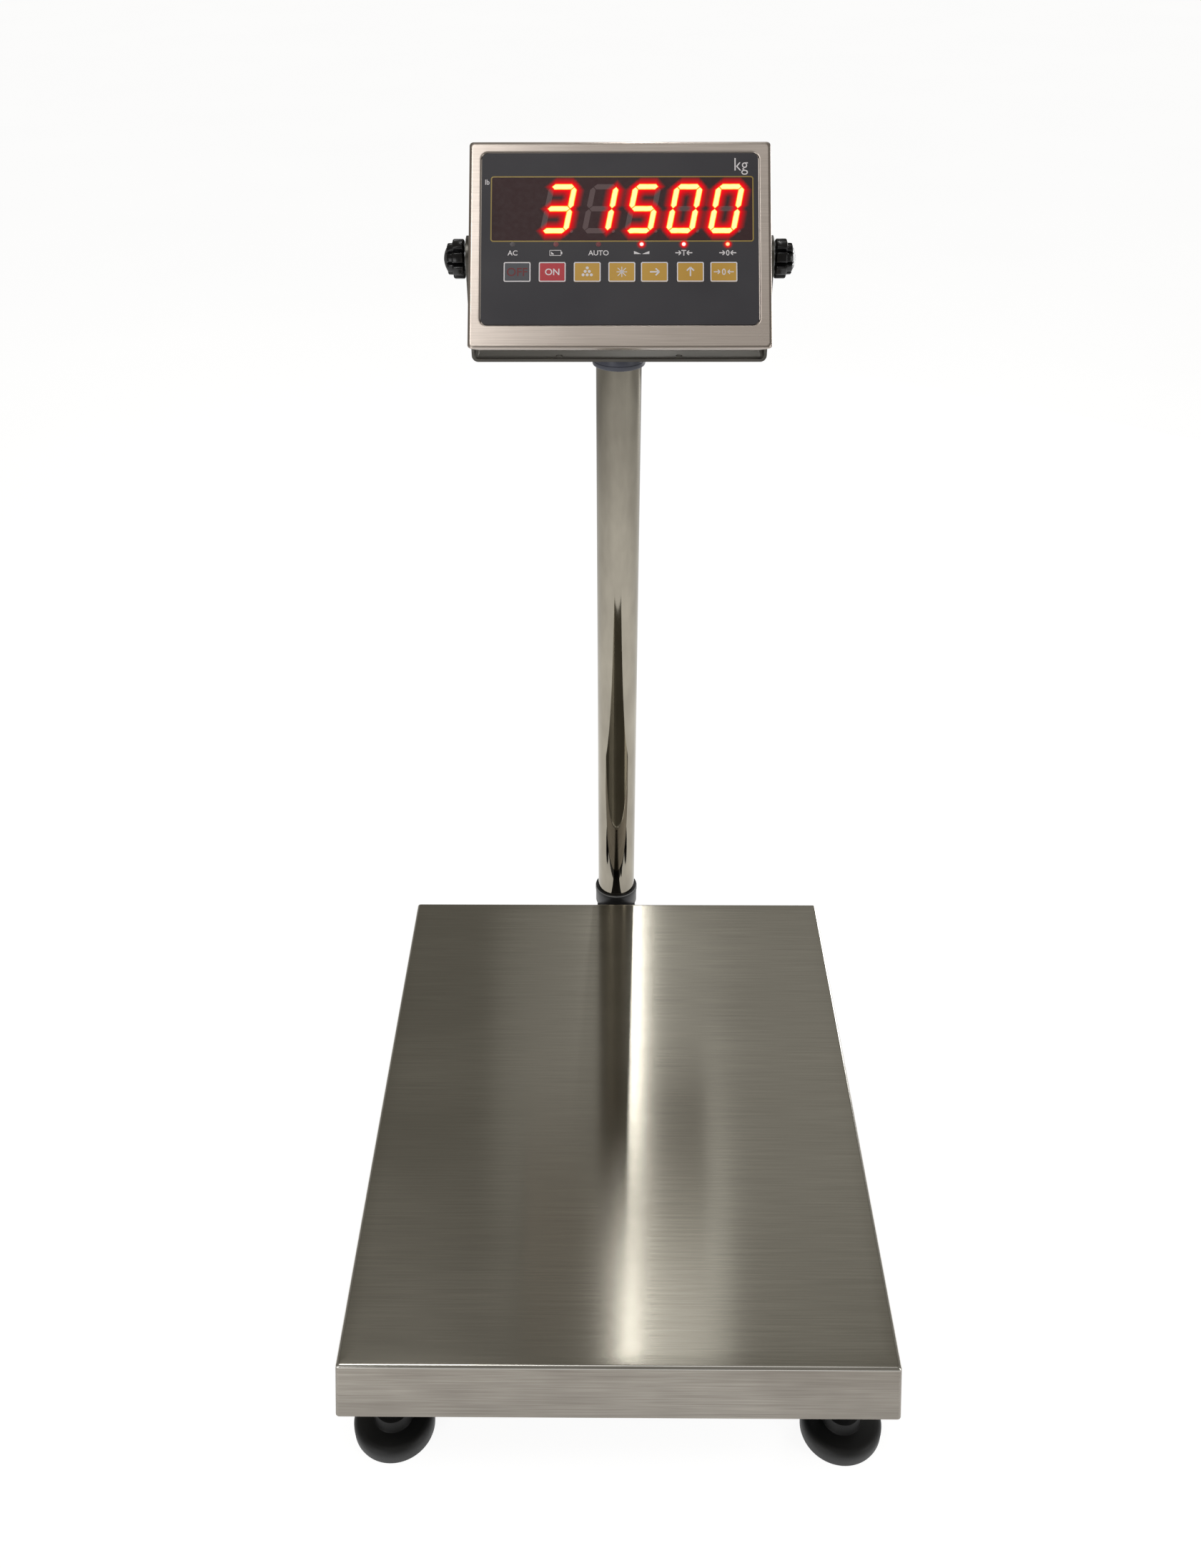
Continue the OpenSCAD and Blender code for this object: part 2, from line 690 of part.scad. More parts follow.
platter();
platter_bumpers();
upper_rails();
upper_crosses();
upper_plate();
load_cell();
load_cell_spacers();
load_cell_bolts();
overload_stops();
base_rails();
base_crosses();
base_beam();
foot_plates();
foot_locknuts();
foot_pad_fl();
foot_pad_fr();
foot_pad_rl();
foot_pad_rr();
foot_stud_fl();
foot_stud_fr();
foot_stud_rl();
foot_stud_rr();
level_housing();
level_vial();
cable_gland();
column_arm();
column_socket();
socket_screws();
column_tube();
column_plug();
upper_collar();
head_bracket();
bracket_screws();
case_shell();
rear_cover();
cover_screws();
pivot_bosses();
friction_washers();
keypad_overlay();
display_window();
digit_modules();
segments_lit();
segments_unlit();
status_leds();
display_board();
key_switches();
battery();
main_board();
head_gland();
key_off();
key_on();
key_count();
key_star();
key_shift();
key_up();
key_zero();
knob_washer_left();
knob_washer_right();
knob_left();
knob_right();
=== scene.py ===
"""Bench scale: looks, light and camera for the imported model."""
import math
import bmesh
import bpy
from mathutils import Matrix, Vector


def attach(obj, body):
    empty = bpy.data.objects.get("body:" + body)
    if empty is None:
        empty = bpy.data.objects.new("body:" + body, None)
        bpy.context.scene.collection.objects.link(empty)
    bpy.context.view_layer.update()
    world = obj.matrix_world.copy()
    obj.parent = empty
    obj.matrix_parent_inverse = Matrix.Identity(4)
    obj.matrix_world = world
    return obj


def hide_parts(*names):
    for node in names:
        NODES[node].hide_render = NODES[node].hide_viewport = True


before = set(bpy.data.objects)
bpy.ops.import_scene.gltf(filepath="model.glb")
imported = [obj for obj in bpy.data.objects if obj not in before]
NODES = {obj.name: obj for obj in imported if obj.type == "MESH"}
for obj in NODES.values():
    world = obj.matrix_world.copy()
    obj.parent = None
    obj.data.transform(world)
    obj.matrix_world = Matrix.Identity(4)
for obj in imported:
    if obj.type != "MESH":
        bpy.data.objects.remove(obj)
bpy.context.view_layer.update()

MM = 0.001


# ---------------------------------------------------------------- colour and node helpers

def srgb(text):
    """'#rrggbb' as a linear RGBA tuple."""
    out = []
    for i in (1, 3, 5):
        c = int(text[i:i + 2], 16) / 255
        out.append(c / 12.92 if c <= 0.04045 else ((c + 0.055) / 1.055) ** 2.4)
    return (*out, 1.0)


def add(tree, kind, inputs=None, **settings):
    """Adds one node, applies its settings, then sets or links its inputs."""
    n = tree.nodes.new(kind)
    for key, value in settings.items():
        setattr(n, key, value)
    for key, value in (inputs or {}).items():
        if isinstance(value, bpy.types.NodeSocket):
            tree.links.new(value, n.inputs[key])
        else:
            n.inputs[key].default_value = value
    return n


def blank(name):
    """A material with only its output node, and its tree."""
    m = bpy.data.materials.new(name)
    m.use_nodes = True
    m.node_tree.nodes.clear()
    return m, m.node_tree


def ramp(tree, factor, *stops):
    """A colour ramp through (position, linear RGBA) stops."""
    n = add(tree, "ShaderNodeValToRGB", {0: factor})
    while len(n.color_ramp.elements) < len(stops):
        n.color_ramp.elements.new(0.5)
    for element, (at, colour) in zip(n.color_ramp.elements, stops):
        element.position, element.color = at, colour
    return n.outputs[0]


def grey(v):
    """A plain value as RGBA, for ramps that steer a number."""
    return (v, v, v, 1.0)


def close(m, tree, shader):
    """Joins a shader to the material's output and returns the material."""
    add(tree, "ShaderNodeOutputMaterial", {0: shader})
    return m


def scaled_noise(tree, scale, detail=2.0, rough=0.5, turn=(0, 0, 0)):
    """Noise on Object coordinates, in cycles per metre along X, Y and Z after a turn."""
    co = add(tree, "ShaderNodeTexCoord").outputs["Object"]
    place = add(tree, "ShaderNodeMapping", {0: co, "Rotation": turn, "Scale": scale}).outputs[0]
    return add(tree, "ShaderNodeTexNoise", {
        "Vector": place, "Scale": 1.0, "Detail": detail, "Roughness": rough}).outputs[0]


# Places in mm. In plan, y runs back from the pan's front edge, and PLAN_MID is the origin's y there
PLAN_MID = 305.75
COLUMN_BACK = 581.5
COLUMN_Y = COLUMN_BACK - PLAN_MID
HEAD_TILT = math.radians(40.4)

# The indicator's face, measured from its pivot, and the case's wedge behind it
FACE_Y = -33.0
FACE_HALF, FACE_LOW, FACE_HIGH = 114.2, -86.0, 76.0
CASE_DEPTH = 86
WEDGE = math.radians(22)
INK_Y = FACE_Y + 0.34


# ---------------------------------------------------------------- metals

def brushed_steel(name, dark, light, grain, blotch, rough, bump, anisotropic=0.0, turn=(0, 0, 0)):
    """Brushed stainless sheet: fine parallel lines stretch highlights across the grain, and
    handling leaves soft cloudy patches that are a little duller. grain and blotch are in cycles
    per metre, and turn lines them up with a leaning sheet."""
    m, t = blank(name)
    lines = scaled_noise(t, grain, 3.0, 0.6, turn)
    cloud = scaled_noise(t, blotch, 3.0, 0.55, turn)
    both = add(t, "ShaderNodeMath", {0: lines, 1: cloud}, operation="MULTIPLY").outputs[0]
    colour = ramp(t, both, (0.12, srgb(dark)), (0.42, srgb(light)))
    gloss = ramp(t, cloud, (0.2, grey(rough - 0.02)), (0.8, grey(rough + 0.03)))
    raised = add(t, "ShaderNodeBump", {"Strength": bump, "Distance": 0.0002, "Height": lines}).outputs[0]
    shader = add(t, "ShaderNodeBsdfPrincipled", {
        "Base Color": colour, "Metallic": 1.0, "Roughness": gloss, "Normal": raised,
        "Anisotropic": anisotropic})
    if anisotropic:
        across = add(t, "ShaderNodeTangent", direction_type="UV_MAP", uv_map="across_grain")
        t.links.new(across.outputs[0], shader.inputs["Tangent"])
    return close(m, t, shader.outputs[0])


# 304 sheet, number 4 finish, lines running left to right across the pan
pan_steel = brushed_steel("pan_brushed_304", "#9a968b", "#aeaa9e", (14, 900, 900), (3, 5, 5),
                          0.185, 0.04, 1.0)
# The skirt has been handled more, and carries soft brown-grey stains
skirt_steel = brushed_steel("skirt_handled_304", "#8a837a", "#b4aea4", (14, 900, 900), (8, 8, 11),
                            0.36, 0.03, 0.85)
# Bending stretches the sheet and smooths its lines; the bends' paler colour is a painted highlight
bend_steel_painted_highlight = brushed_steel("bend_304_painted_highlight", "#c9c6bf", "#dddad3", (14, 300, 300), (4, 9, 9),
                           0.2, 0.02)
# The same sheet on the indicator, lines along its width
case_steel = brushed_steel("case_brushed_304", "#b4a9a0", "#cdc2b9", (18, 1400, 1400), (8, 14, 14),
                           0.28, 0.08, 0.7, turn=(-HEAD_TILT, 0, 0))
# The bracket's sheet is duller, and its dark colour is painted shade
bracket_steel_painted_shade = brushed_steel("bracket_304_painted_shade", "#5a5854", "#7b7871", (20, 1300, 1300), (9, 12, 12),
                              0.32, 0.08)


def polished_tube():
    """Mirror-polished stainless tube: it shows the pan, the floor and the lamps, a little softened
    by a haze of handling and by polishing lines too fine to see."""
    m, t = blank("tube_polished_304")
    haze = scaled_noise(t, (40, 40, 14), 3.0, 0.6)
    lines = scaled_noise(t, (900, 900, 8), 2.0, 0.5)
    raised = add(t, "ShaderNodeBump", {"Strength": 0.03, "Distance": 0.0002, "Height": lines}).outputs[0]
    shader = add(t, "ShaderNodeBsdfPrincipled", {
        "Base Color": ramp(t, haze, (0.3, srgb("#928c80")), (0.7, srgb("#a8a294"))), "Metallic": 1.0,
        "Roughness": ramp(t, haze, (0.3, grey(0.03)), (0.7, grey(0.08))), "Normal": raised})
    return close(m, t, shader.outputs[0])


def plated(name, dark, light, rough):
    """Zinc plating: a faint crystalline mottle in colour and gloss, finer than a millimetre,
    drawn at two millimetres so that it shows."""
    m, t = blank(name)
    mottle = scaled_noise(t, (500, 500, 500), 4.0, 0.6)
    shader = add(t, "ShaderNodeBsdfPrincipled", {
        "Base Color": ramp(t, mottle, (0.35, srgb(dark)), (0.65, srgb(light))),
        "Metallic": 1.0,
        "Roughness": ramp(t, mottle, (0.3, grey(rough)), (0.7, grey(rough + 0.15)))})
    return close(m, t, shader.outputs[0])


def moulded(name, dark, light, rough, grain, depth, metallic=0.0, coat=0.0):
    """A moulded, painted or cast surface: slight colour drift, and a grain of a real size in
    cycles per metre that breaks up its highlights."""
    m, t = blank(name)
    fine = scaled_noise(t, (grain, grain, grain), 3.0, 0.6)
    drift = scaled_noise(t, (14, 14, 14), 2.0, 0.5)
    raised = add(t, "ShaderNodeBump", {"Strength": depth, "Distance": 0.0002, "Height": fine}).outputs[0]
    shader = add(t, "ShaderNodeBsdfPrincipled", {
        "Base Color": ramp(t, drift, (0.35, srgb(dark)), (0.65, srgb(light))),
        "Metallic": metallic, "Coat Weight": coat, "Coat Roughness": 0.08,
        "Roughness": ramp(t, fine, (0.3, grey(rough - 0.05)), (0.7, grey(rough + 0.05))),
        "Normal": raised})
    return close(m, t, shader.outputs[0])


tube_steel = polished_tube()
zinc = plated("zinc_plate", "#8f9193", "#c9cacb", 0.28)
black_oxide = plated("black_oxide_bolt", "#1b1b1d", "#35353a", 0.4)
# Powder coat has an orange-peel surface of about a millimetre
frame_powder = moulded("frame_powder_coat_black", "#1c1d1f", "#2a2b2e", 0.45, 900, 0.25)
frame_grey = moulded("frame_powder_coat_grey", "#777b80", "#8c9095", 0.42, 900, 0.25)
cell_metal = moulded("cell_anodised_aluminium", "#a9acb0", "#c4c7cb", 0.34, 2500, 0.1, metallic=1.0)
# Rubber feet are matt, with bloom that greys them in patches
foot_rubber = moulded("foot_moulded_rubber", "#040505", "#0b0c0d", 0.55, 1200, 0.15)
bumper_rubber = moulded("bumper_rubber", "#121213", "#1d1d1f", 0.7, 1500, 0.2)
# Phenolic comes out of the mould almost mirror-black
knob_black = moulded("knob_black_phenolic", "#050406", "#0c0b0e", 0.24, 700, 0.02)
socket_abs = moulded("socket_black_abs", "#1f2021", "#2e2f30", 0.38, 1800, 0.1)
collar_abs = moulded("collar_bluegrey_abs", "#43454f", "#585b6a", 0.36, 1600, 0.1)
gland_nylon = moulded("gland_black_nylon", "#141416", "#212124", 0.45, 1500, 0.12)
washer_nylon = moulded("washer_white_nylon", "#d9d7cf", "#e9e7e0", 0.4, 1200, 0.05)
board_mask = moulded("board_green_solder_mask", "#14512a", "#1c6a38", 0.3, 600, 0.15)
battery_abs = moulded("battery_blue_abs", "#1e3a6b", "#284a82", 0.45, 1500, 0.1)
module_black = moulded("digit_module_black", "#120d0e", "#1d1517", 0.5, 1500, 0.1)
level_white = moulded("level_housing_acetal", "#c9c8c1", "#dad9d2", 0.35, 1200, 0.05)
level_green = moulded("level_green_liquid", "#8fb52e", "#a9cf3d", 0.1, 200, 0.01, coat=0.8)


# ---------------------------------------------------------------- panel films and lights

# Polyester film has a velvet grain of about 0.4 mm that scatters light evenly
panel_film = moulded("panel_velvet_film", "#36343a", "#3e3c41", 0.55, 2500, 0.12)
key_yellow = moulded("key_film_yellow", "#cf9f3c", "#dbac48", 0.42, 2500, 0.08)
key_red = moulded("key_film_red", "#bf2f38", "#cd3a43", 0.42, 2500, 0.08)
key_grey = moulded("key_film_grey", "#48484e", "#525259", 0.42, 2500, 0.08)
white_ink = moulded("white_screen_ink", "#efe9ec", "#f7f3f5", 0.5, 1500, 0.02)
dim_red_ink = moulded("dark_red_screen_ink", "#6b2a2d", "#7c2f33", 0.5, 1500, 0.02)
gold_ink = moulded("gold_screen_ink", "#9b8236", "#b1964a", 0.4, 1500, 0.02)
ghost_bar = moulded("unlit_bar_epoxy", "#5c4747", "#675152", 0.5, 1500, 0.02)
filter_back = moulded("display_red_filter", "#300f12", "#381519", 0.55, 300, 0.01)
led_off = moulded("led_unlit_epoxy", "#3b3337", "#453a3e", 0.3, 800, 0.02)
led_off_red = moulded("led_unlit_red_epoxy", "#6a2229", "#7d2a31", 0.3, 800, 0.02)


def glowing(name, stops, strength):
    """A lit surface whose colour follows the mesh's 'core' attribute, 1 where the lamp is."""
    m, t = blank(name)
    core = add(t, "ShaderNodeAttribute", attribute_name="core").outputs["Fac"]
    grain = scaled_noise(t, (260, 260, 260), 2.0)
    mixed = add(t, "ShaderNodeMath", {0: core, 1: grain, 2: -0.07}, operation="MULTIPLY_ADD").outputs[0]
    mixed = add(t, "ShaderNodeMath", {0: core, 1: mixed}, operation="ADD").outputs[0]
    colour = ramp(t, mixed, *[(p, srgb(c)) for p, c in stops])
    glow = add(t, "ShaderNodeEmission", {"Color": colour, "Strength": strength})
    return close(m, t, glow.outputs[0])


# A lit bar is yellow-white over its lamps and turns orange, then red, at its edge
lit_bar = glowing("lit_bar_epoxy", [(0.0, "#ff2a12"), (0.28, "#ff7a1e"), (0.55, "#ffc63a"), (1.0, "#fff0a0")],
                  1.25)
led_white = glowing("led_lit_white_red", [(0.0, "#ff3b3b"), (0.5, "#ff9a8c"), (1.0, "#fff2ee")], 1.3)
led_orange = glowing("led_lit_orange", [(0.0, "#e8472c"), (0.5, "#ff8a4a"), (1.0, "#ffd9a0")], 1.2)


def halo_glow():
    """Light scattered in the filter round a lit bar: red that fades to nothing."""
    m, t = blank("filter_scattered_red")
    core = add(t, "ShaderNodeAttribute", attribute_name="core").outputs["Fac"]
    fade = add(t, "ShaderNodeMath", {0: core, 1: 1.5}, operation="POWER").outputs[0]
    glow = add(t, "ShaderNodeEmission", {"Color": srgb("#ff1420"), "Strength": 1.1}).outputs[0]
    clear = add(t, "ShaderNodeBsdfTransparent").outputs[0]
    return close(m, t, add(t, "ShaderNodeMixShader", {0: fade, 1: clear, 2: glow}).outputs[0])


halo = halo_glow()


# ---------------------------------------------------------------- mesh helpers

COLUMN_TOP = 661.5
PIVOT = Vector((0, COLUMN_Y - 24.2, COLUMN_TOP + 77))
# The case's own frame: x right, y back into the case, z up the face, in mm from the pivot
HEAD = Matrix.Scale(MM, 4) @ Matrix.Translation(PIVOT) @ Matrix.Rotation(-HEAD_TILT, 4, "X")
# The plan's frame: x right, y back from the pan's front edge, z up, in mm
PLAN = Matrix.Scale(MM, 4) @ Matrix.Translation((0, -PLAN_MID, 0))


def smooth_by_angle(me, degrees=35):
    """Shades a mesh smooth, but for edges that turn by more than an angle."""
    me.shade_smooth()
    me.set_sharp_from_angle(angle=math.radians(degrees))


def piece(name, points, faces, material, body, place, attribute=None, smooth=True, instead_of=()):
    """A mesh piece from points in mm in the given place, riding on a CAD body."""
    me = bpy.data.meshes.new(name)
    me.from_pydata([place @ Vector(p) for p in points], [], faces)
    me.update()
    if attribute is not None:
        layer = me.attributes.new("core", "FLOAT", "POINT")
        layer.data.foreach_set("value", attribute)
    if smooth:
        smooth_by_angle(me)
    me.materials.append(material)
    return settle(bpy.data.objects.new(name, me), body, instead_of)


def settle(obj, body, instead_of=()):
    """Links a piece, sets it riding on a CAD body, and takes the place of CAD nodes."""
    if obj.name not in bpy.context.scene.collection.objects:
        bpy.context.scene.collection.objects.link(obj)
    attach(obj, body)
    if instead_of:
        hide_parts(*instead_of)
    return obj


def lay_grain(me, place):
    """A UV map whose U runs across the brush lines, which run along X in the given place."""
    back = place.inverted()
    uv = me.uv_layers.new(name="across_grain")
    for loop in me.loops:
        p = back @ me.vertices[loop.vertex_index].co
        uv.data[loop.index].uv = ((p.y - p.z) * MM, (p.x + 0.01 * p.z) * MM)


def outward(me):
    """Welds a mesh and turns its faces outward."""
    bm = bmesh.new()
    bm.from_mesh(me)
    bmesh.ops.remove_doubles(bm, verts=bm.verts, dist=1e-6)
    bmesh.ops.recalc_face_normals(bm, faces=bm.faces)
    bm.to_mesh(me)
    bm.free()


def dressed(node, material, body, edge=0.4, angle=30):
    """A welded copy of a CAD node with its corners eased by edge, in mm."""
    me = NODES[node].data.copy()
    bm = bmesh.new()
    bm.from_mesh(me)
    bmesh.ops.remove_doubles(bm, verts=bm.verts, dist=2e-6)
    bmesh.ops.dissolve_limit(bm, angle_limit=math.radians(0.5), verts=bm.verts, edges=bm.edges)
    bm.to_mesh(me)
    bm.free()
    me.materials.clear()
    me.materials.append(material)
    obj = bpy.data.objects.new(node + "_dressed", me)
    smooth_by_angle(me, angle)
    settle(obj, body, (node,))
    if edge:
        ease = obj.modifiers.new("eased_edges", "BEVEL")
        ease.width = edge * MM
        ease.segments = 2
        ease.limit_method = "ANGLE"
        ease.angle_limit = math.radians(angle)
        ease.harden_normals = True
    return obj


def rounded_loop(x, z, r, n=8):
    """Corners of a rounded rectangle from x[0], z[0] to x[1], z[1], anticlockwise in (x, z)."""
    pts = []
    for cx, cz, start in ((x[1] - r, z[1] - r, 0), (x[0] + r, z[1] - r, 90),
                          (x[0] + r, z[0] + r, 180), (x[1] - r, z[0] + r, 270)):
        for i in range(n + 1):
            a = math.radians(start + 90 * i / n)
            pts.append((cx + r * math.cos(a), cz + r * math.sin(a)))
    return pts


def skin(loops, closed=False, caps=True):
    """Points and faces for a surface drawn through equal loops, in order."""
    n = len(loops[0])
    pts = [p for loop in loops for p in loop]
    faces = []
    for k in range(len(loops) - (0 if closed else 1)):
        a, b = k * n, (k + 1) % len(loops) * n
        for i in range(n):
            j = (i + 1) % n
            faces.append((a + i, a + j, b + j, b + i))
    if caps and not closed:
        faces.append(tuple(range(n - 1, -1, -1)))
        faces.append(tuple(range((len(loops) - 1) * n, len(loops) * n)))
    return pts, faces


def turned(profile, n=96):
    """Equal loops for a shape turned about Z, through its (radius, height) points."""
    return [[(r * math.cos(2 * math.pi * i / n), r * math.sin(2 * math.pi * i / n), z)
             for i in range(n)] for r, z in profile]


PAN_HALF_X, PAN_HALF_Y, PAN_TOP = 200, 250, 130
PAN_SHEET = 1.5
PAN_BEND = 3
SKIRT_FOOT = 74.0
SKIRT_SPLAY = 5.0


def pan():
    """The pan: flat top, rolled edge, welded corners with a small radius, splayed skirt."""
    loops = []
    bend_z = PAN_TOP - PAN_BEND
    lean = math.atan(SKIRT_SPLAY / (PAN_TOP - SKIRT_FOOT))
    flat_x, flat_y = PAN_HALF_X - PAN_BEND, PAN_HALF_Y - PAN_BEND

    def around(growth, z, r):
        """Adds a loop round the pan, growth outside its top's outline."""
        pts = rounded_loop((-PAN_HALF_X - growth, PAN_HALF_X + growth),
                           (-PAN_HALF_Y - growth, PAN_HALF_Y + growth), r)
        loops.append([(x, y + PAN_HALF_Y, z) for x, y in pts])

    def flat(scales, z):
        """Adds loops that carry a flat face towards or away from its middle."""
        for s in scales:
            pts = rounded_loop((-flat_x, flat_x), (-flat_y, flat_y), 1.5)
            loops.append([(x * s, y * s + PAN_HALF_Y, z) for x, y in pts])

    flat((0.02, 0.3, 0.6, 0.85, 0.95), PAN_TOP)
    for i in range(9):
        a = math.radians(90 - (90 + math.degrees(lean)) * i / 8)
        around(PAN_BEND * math.cos(a) - PAN_BEND, bend_z + PAN_BEND * math.sin(a), 1.5 + 1.5 * i / 8)
    around(SKIRT_SPLAY, SKIRT_FOOT + 0.4, 3.0)
    around(SKIRT_SPLAY - 0.2, SKIRT_FOOT, 2.9)
    around(SKIRT_SPLAY - PAN_SHEET + 0.1, SKIRT_FOOT, 2.2)
    around(SKIRT_SPLAY - PAN_SHEET - 0.1, SKIRT_FOOT + 0.4, 2.0)
    for i in range(5):
        a = math.radians(-math.degrees(lean) + (90 + math.degrees(lean)) * i / 4)
        around(PAN_SHEET * math.cos(a) - PAN_BEND, bend_z + PAN_SHEET * math.sin(a), 1.2)
    flat((0.95, 0.5, 0.02), PAN_TOP - PAN_SHEET)
    pts, faces = skin(loops)
    obj = piece("pan_sheet", pts, faces, pan_steel, "platter", PLAN, instead_of=("platter",))
    outward(obj.data)
    lay_grain(obj.data, PLAN)
    smooth_by_angle(obj.data, 40)
    obj.data.materials.append(skirt_steel)
    obj.data.materials.append(bend_steel_painted_highlight)
    # Upright faces take the handled skirt steel; the bends take the paler steel, whose lightness is a painted
    # highlight
    for f in obj.data.polygons:
        if abs(f.normal.z) < 0.3:
            f.material_index = 1
        elif 0 < f.normal.z < 0.97:
            f.material_index = 2


pan()


# ---------------------------------------------------------------- base, column and feet

for name in ("upper_rails", "upper_crosses", "upper_plate"):
    dressed(name, frame_grey, "base", 0.8)
for name in ("base_rails", "base_crosses", "base_beam", "foot_plates", "column_arm"):
    dressed(name, frame_powder, "base", 0.8)
dressed("load_cell", cell_metal, "base", 0.5)
dressed("load_cell_spacers", zinc, "base", 0.3)
dressed("cable_gland", gland_nylon, "base", 0.3)
dressed("platter_bumpers", bumper_rubber, "base", 0.6)
dressed("foot_locknuts", zinc, "base", 0.3)
dressed("level_housing", level_white, "base", 0.4)
dressed("level_vial", level_green, "base", 0.4)
dressed("column_tube", tube_steel, "base", 0.0)
dressed("column_plug", gland_nylon, "base", 0.0)
dressed("socket_screws", zinc, "base", 0.3)
dressed("bracket_screws", zinc, "base", 0.3)
# The bracket's dark steel is painted shade, for the shade under the indicator
dressed("head_bracket", bracket_steel_painted_shade, "base", 0.5)
COLUMN = PLAN @ Matrix.Translation((0, COLUMN_BACK, 0))


def trim_ring(name, node, z0, z1, material, rim, rim_material):
    """A column trim: sleeve with rounded ends and one raised rim band."""
    r0, r1 = 19.05, 21.6
    s = 1 if z1 > z0 else -1
    profile = [(r0, z0), (r1 - 0.4, z0), (r1, z0 + 0.5 * s)]
    h = abs(z1 - z0)
    profile += [(r1, z0 + s * (h - rim)), (21.95, z0 + s * (h - rim + 0.4)),
                (21.95, z0 + s * (h - 0.8)), (21.7, z0 + s * (h - 0.25)), (21.2, z0 + s * h),
                (r0, z0 + s * h)]
    pts, faces = skin(turned(profile), closed=True)
    obj = piece(name, pts, faces, material, "base", COLUMN, instead_of=(node,))
    outward(obj.data)
    smooth_by_angle(obj.data, 40)
    if rim_material:
        obj.data.materials.append(rim_material)
        low, high = sorted(((z0 + s * (h - 0.9)) * MM, (z0 + s * h) * MM))
        for f in obj.data.polygons:
            if low <= f.center.z <= high:
                f.material_index = 1


rim_light = moulded("socket_rim_worn_abs", "#6d6f70", "#8a8c8d", 0.3, 1500, 0.05)
trim_ring("socket_trim", "column_socket", 68, 88, socket_abs, 5, rim_light)
trim_ring("collar_trim", "upper_collar", COLUMN_TOP, 649, collar_abs, 4, None)

FOOT = {"fl": (-172.5, 30), "fr": (172.5, 30), "rl": (-172.5, 470), "rr": (172.5, 470)}
# Half section of the moulded pad: the stud's socket, the hub, the skirt and the ring it stands on
FOOT_SECTION = [
    (0.01, 8), (5.06, 8), (5.06, 25.6), (5.6, 26), (11.6, 26), (12.8, 25.6), (13.5, 24.4), (14.6, 17.4),
    (15.4, 16.2), (17, 15.9), (25, 15.8), (27.6, 15.2), (29.6, 13.6), (30.8, 11), (31, 8), (31, 2.2),
    (30.6, 0.8), (29.4, 0), (20, 0), (19.4, 0.6), (8, 0.6), (0.01, 0.6)]
for key, (fx, fy) in FOOT.items():
    pts, faces = skin(turned(FOOT_SECTION))
    pad = piece("foot_pad_" + key + "_moulded", pts, faces, foot_rubber, "foot_pad_" + key,
                PLAN @ Matrix.Translation((fx, fy, 0)), instead_of=("foot_pad_" + key,))
    outward(pad.data)
    smooth_by_angle(pad.data, 40)
    dressed("foot_stud_" + key, zinc, "foot_stud_" + key, 0.3)


# ---------------------------------------------------------------- screws, by one node tree

def screw_tree():
    """A screw head on every point of a mesh: radius, height, recess and material are inputs."""
    g = bpy.data.node_groups.new("screw_heads", "GeometryNodeTree")
    io = g.interface
    io.new_socket("Points", in_out="INPUT", socket_type="NodeSocketGeometry")
    for label, value in (("Head radius", 0.003), ("Head height", 0.0018), ("Recess radius", 0.001),
                         ("Recess depth", 0.0009)):
        io.new_socket(label, in_out="INPUT", socket_type="NodeSocketFloat").default_value = value
    io.new_socket("Sides", in_out="INPUT", socket_type="NodeSocketInt").default_value = 32
    io.new_socket("Facing", in_out="INPUT", socket_type="NodeSocketVector")
    io.new_socket("Finish", in_out="INPUT", socket_type="NodeSocketMaterial")
    io.new_socket("Heads", in_out="OUTPUT", socket_type="NodeSocketGeometry")
    start = add(g, "NodeGroupInput").outputs
    half = add(g, "ShaderNodeMath", {0: start["Head height"], 1: 0.5}, operation="MULTIPLY").outputs[0]
    low = add(g, "GeometryNodeMeshCylinder", {
        "Vertices": start["Sides"], "Radius": start["Head radius"], "Depth": start["Head height"]})
    lift = add(g, "ShaderNodeCombineXYZ", {2: half}).outputs[0]
    head = add(g, "GeometryNodeTransform", {0: low.outputs[0], "Translation": lift}).outputs[0]
    cutter = add(g, "GeometryNodeMeshCylinder", {
        "Vertices": 6, "Radius": start["Recess radius"], "Depth": start["Recess depth"]})
    raise_to = add(g, "ShaderNodeCombineXYZ", {2: start["Head height"]}).outputs[0]
    hole = add(g, "GeometryNodeTransform", {0: cutter.outputs[0], "Translation": raise_to}).outputs[0]
    cut = add(g, "GeometryNodeMeshBoolean", {"Mesh 1": head, "Mesh 2": hole}, operation="DIFFERENCE",
              solver="EXACT").outputs[0]
    spin = add(g, "FunctionNodeAlignRotationToVector", {"Vector": start["Facing"]}, axis="Z").outputs[0]
    put = add(g, "GeometryNodeInstanceOnPoints", {
        "Points": start["Points"], "Instance": cut, "Rotation": spin}).outputs[0]
    real = add(g, "GeometryNodeRealizeInstances", {0: put}).outputs[0]
    done = add(g, "GeometryNodeSetMaterial", {0: real, "Material": start["Finish"]}).outputs[0]
    add(g, "NodeGroupOutput", {0: done})
    return g


SCREWS = screw_tree()
SOCKET = {s.name: s.identifier for s in SCREWS.interface.items_tree if s.item_type == "SOCKET"}


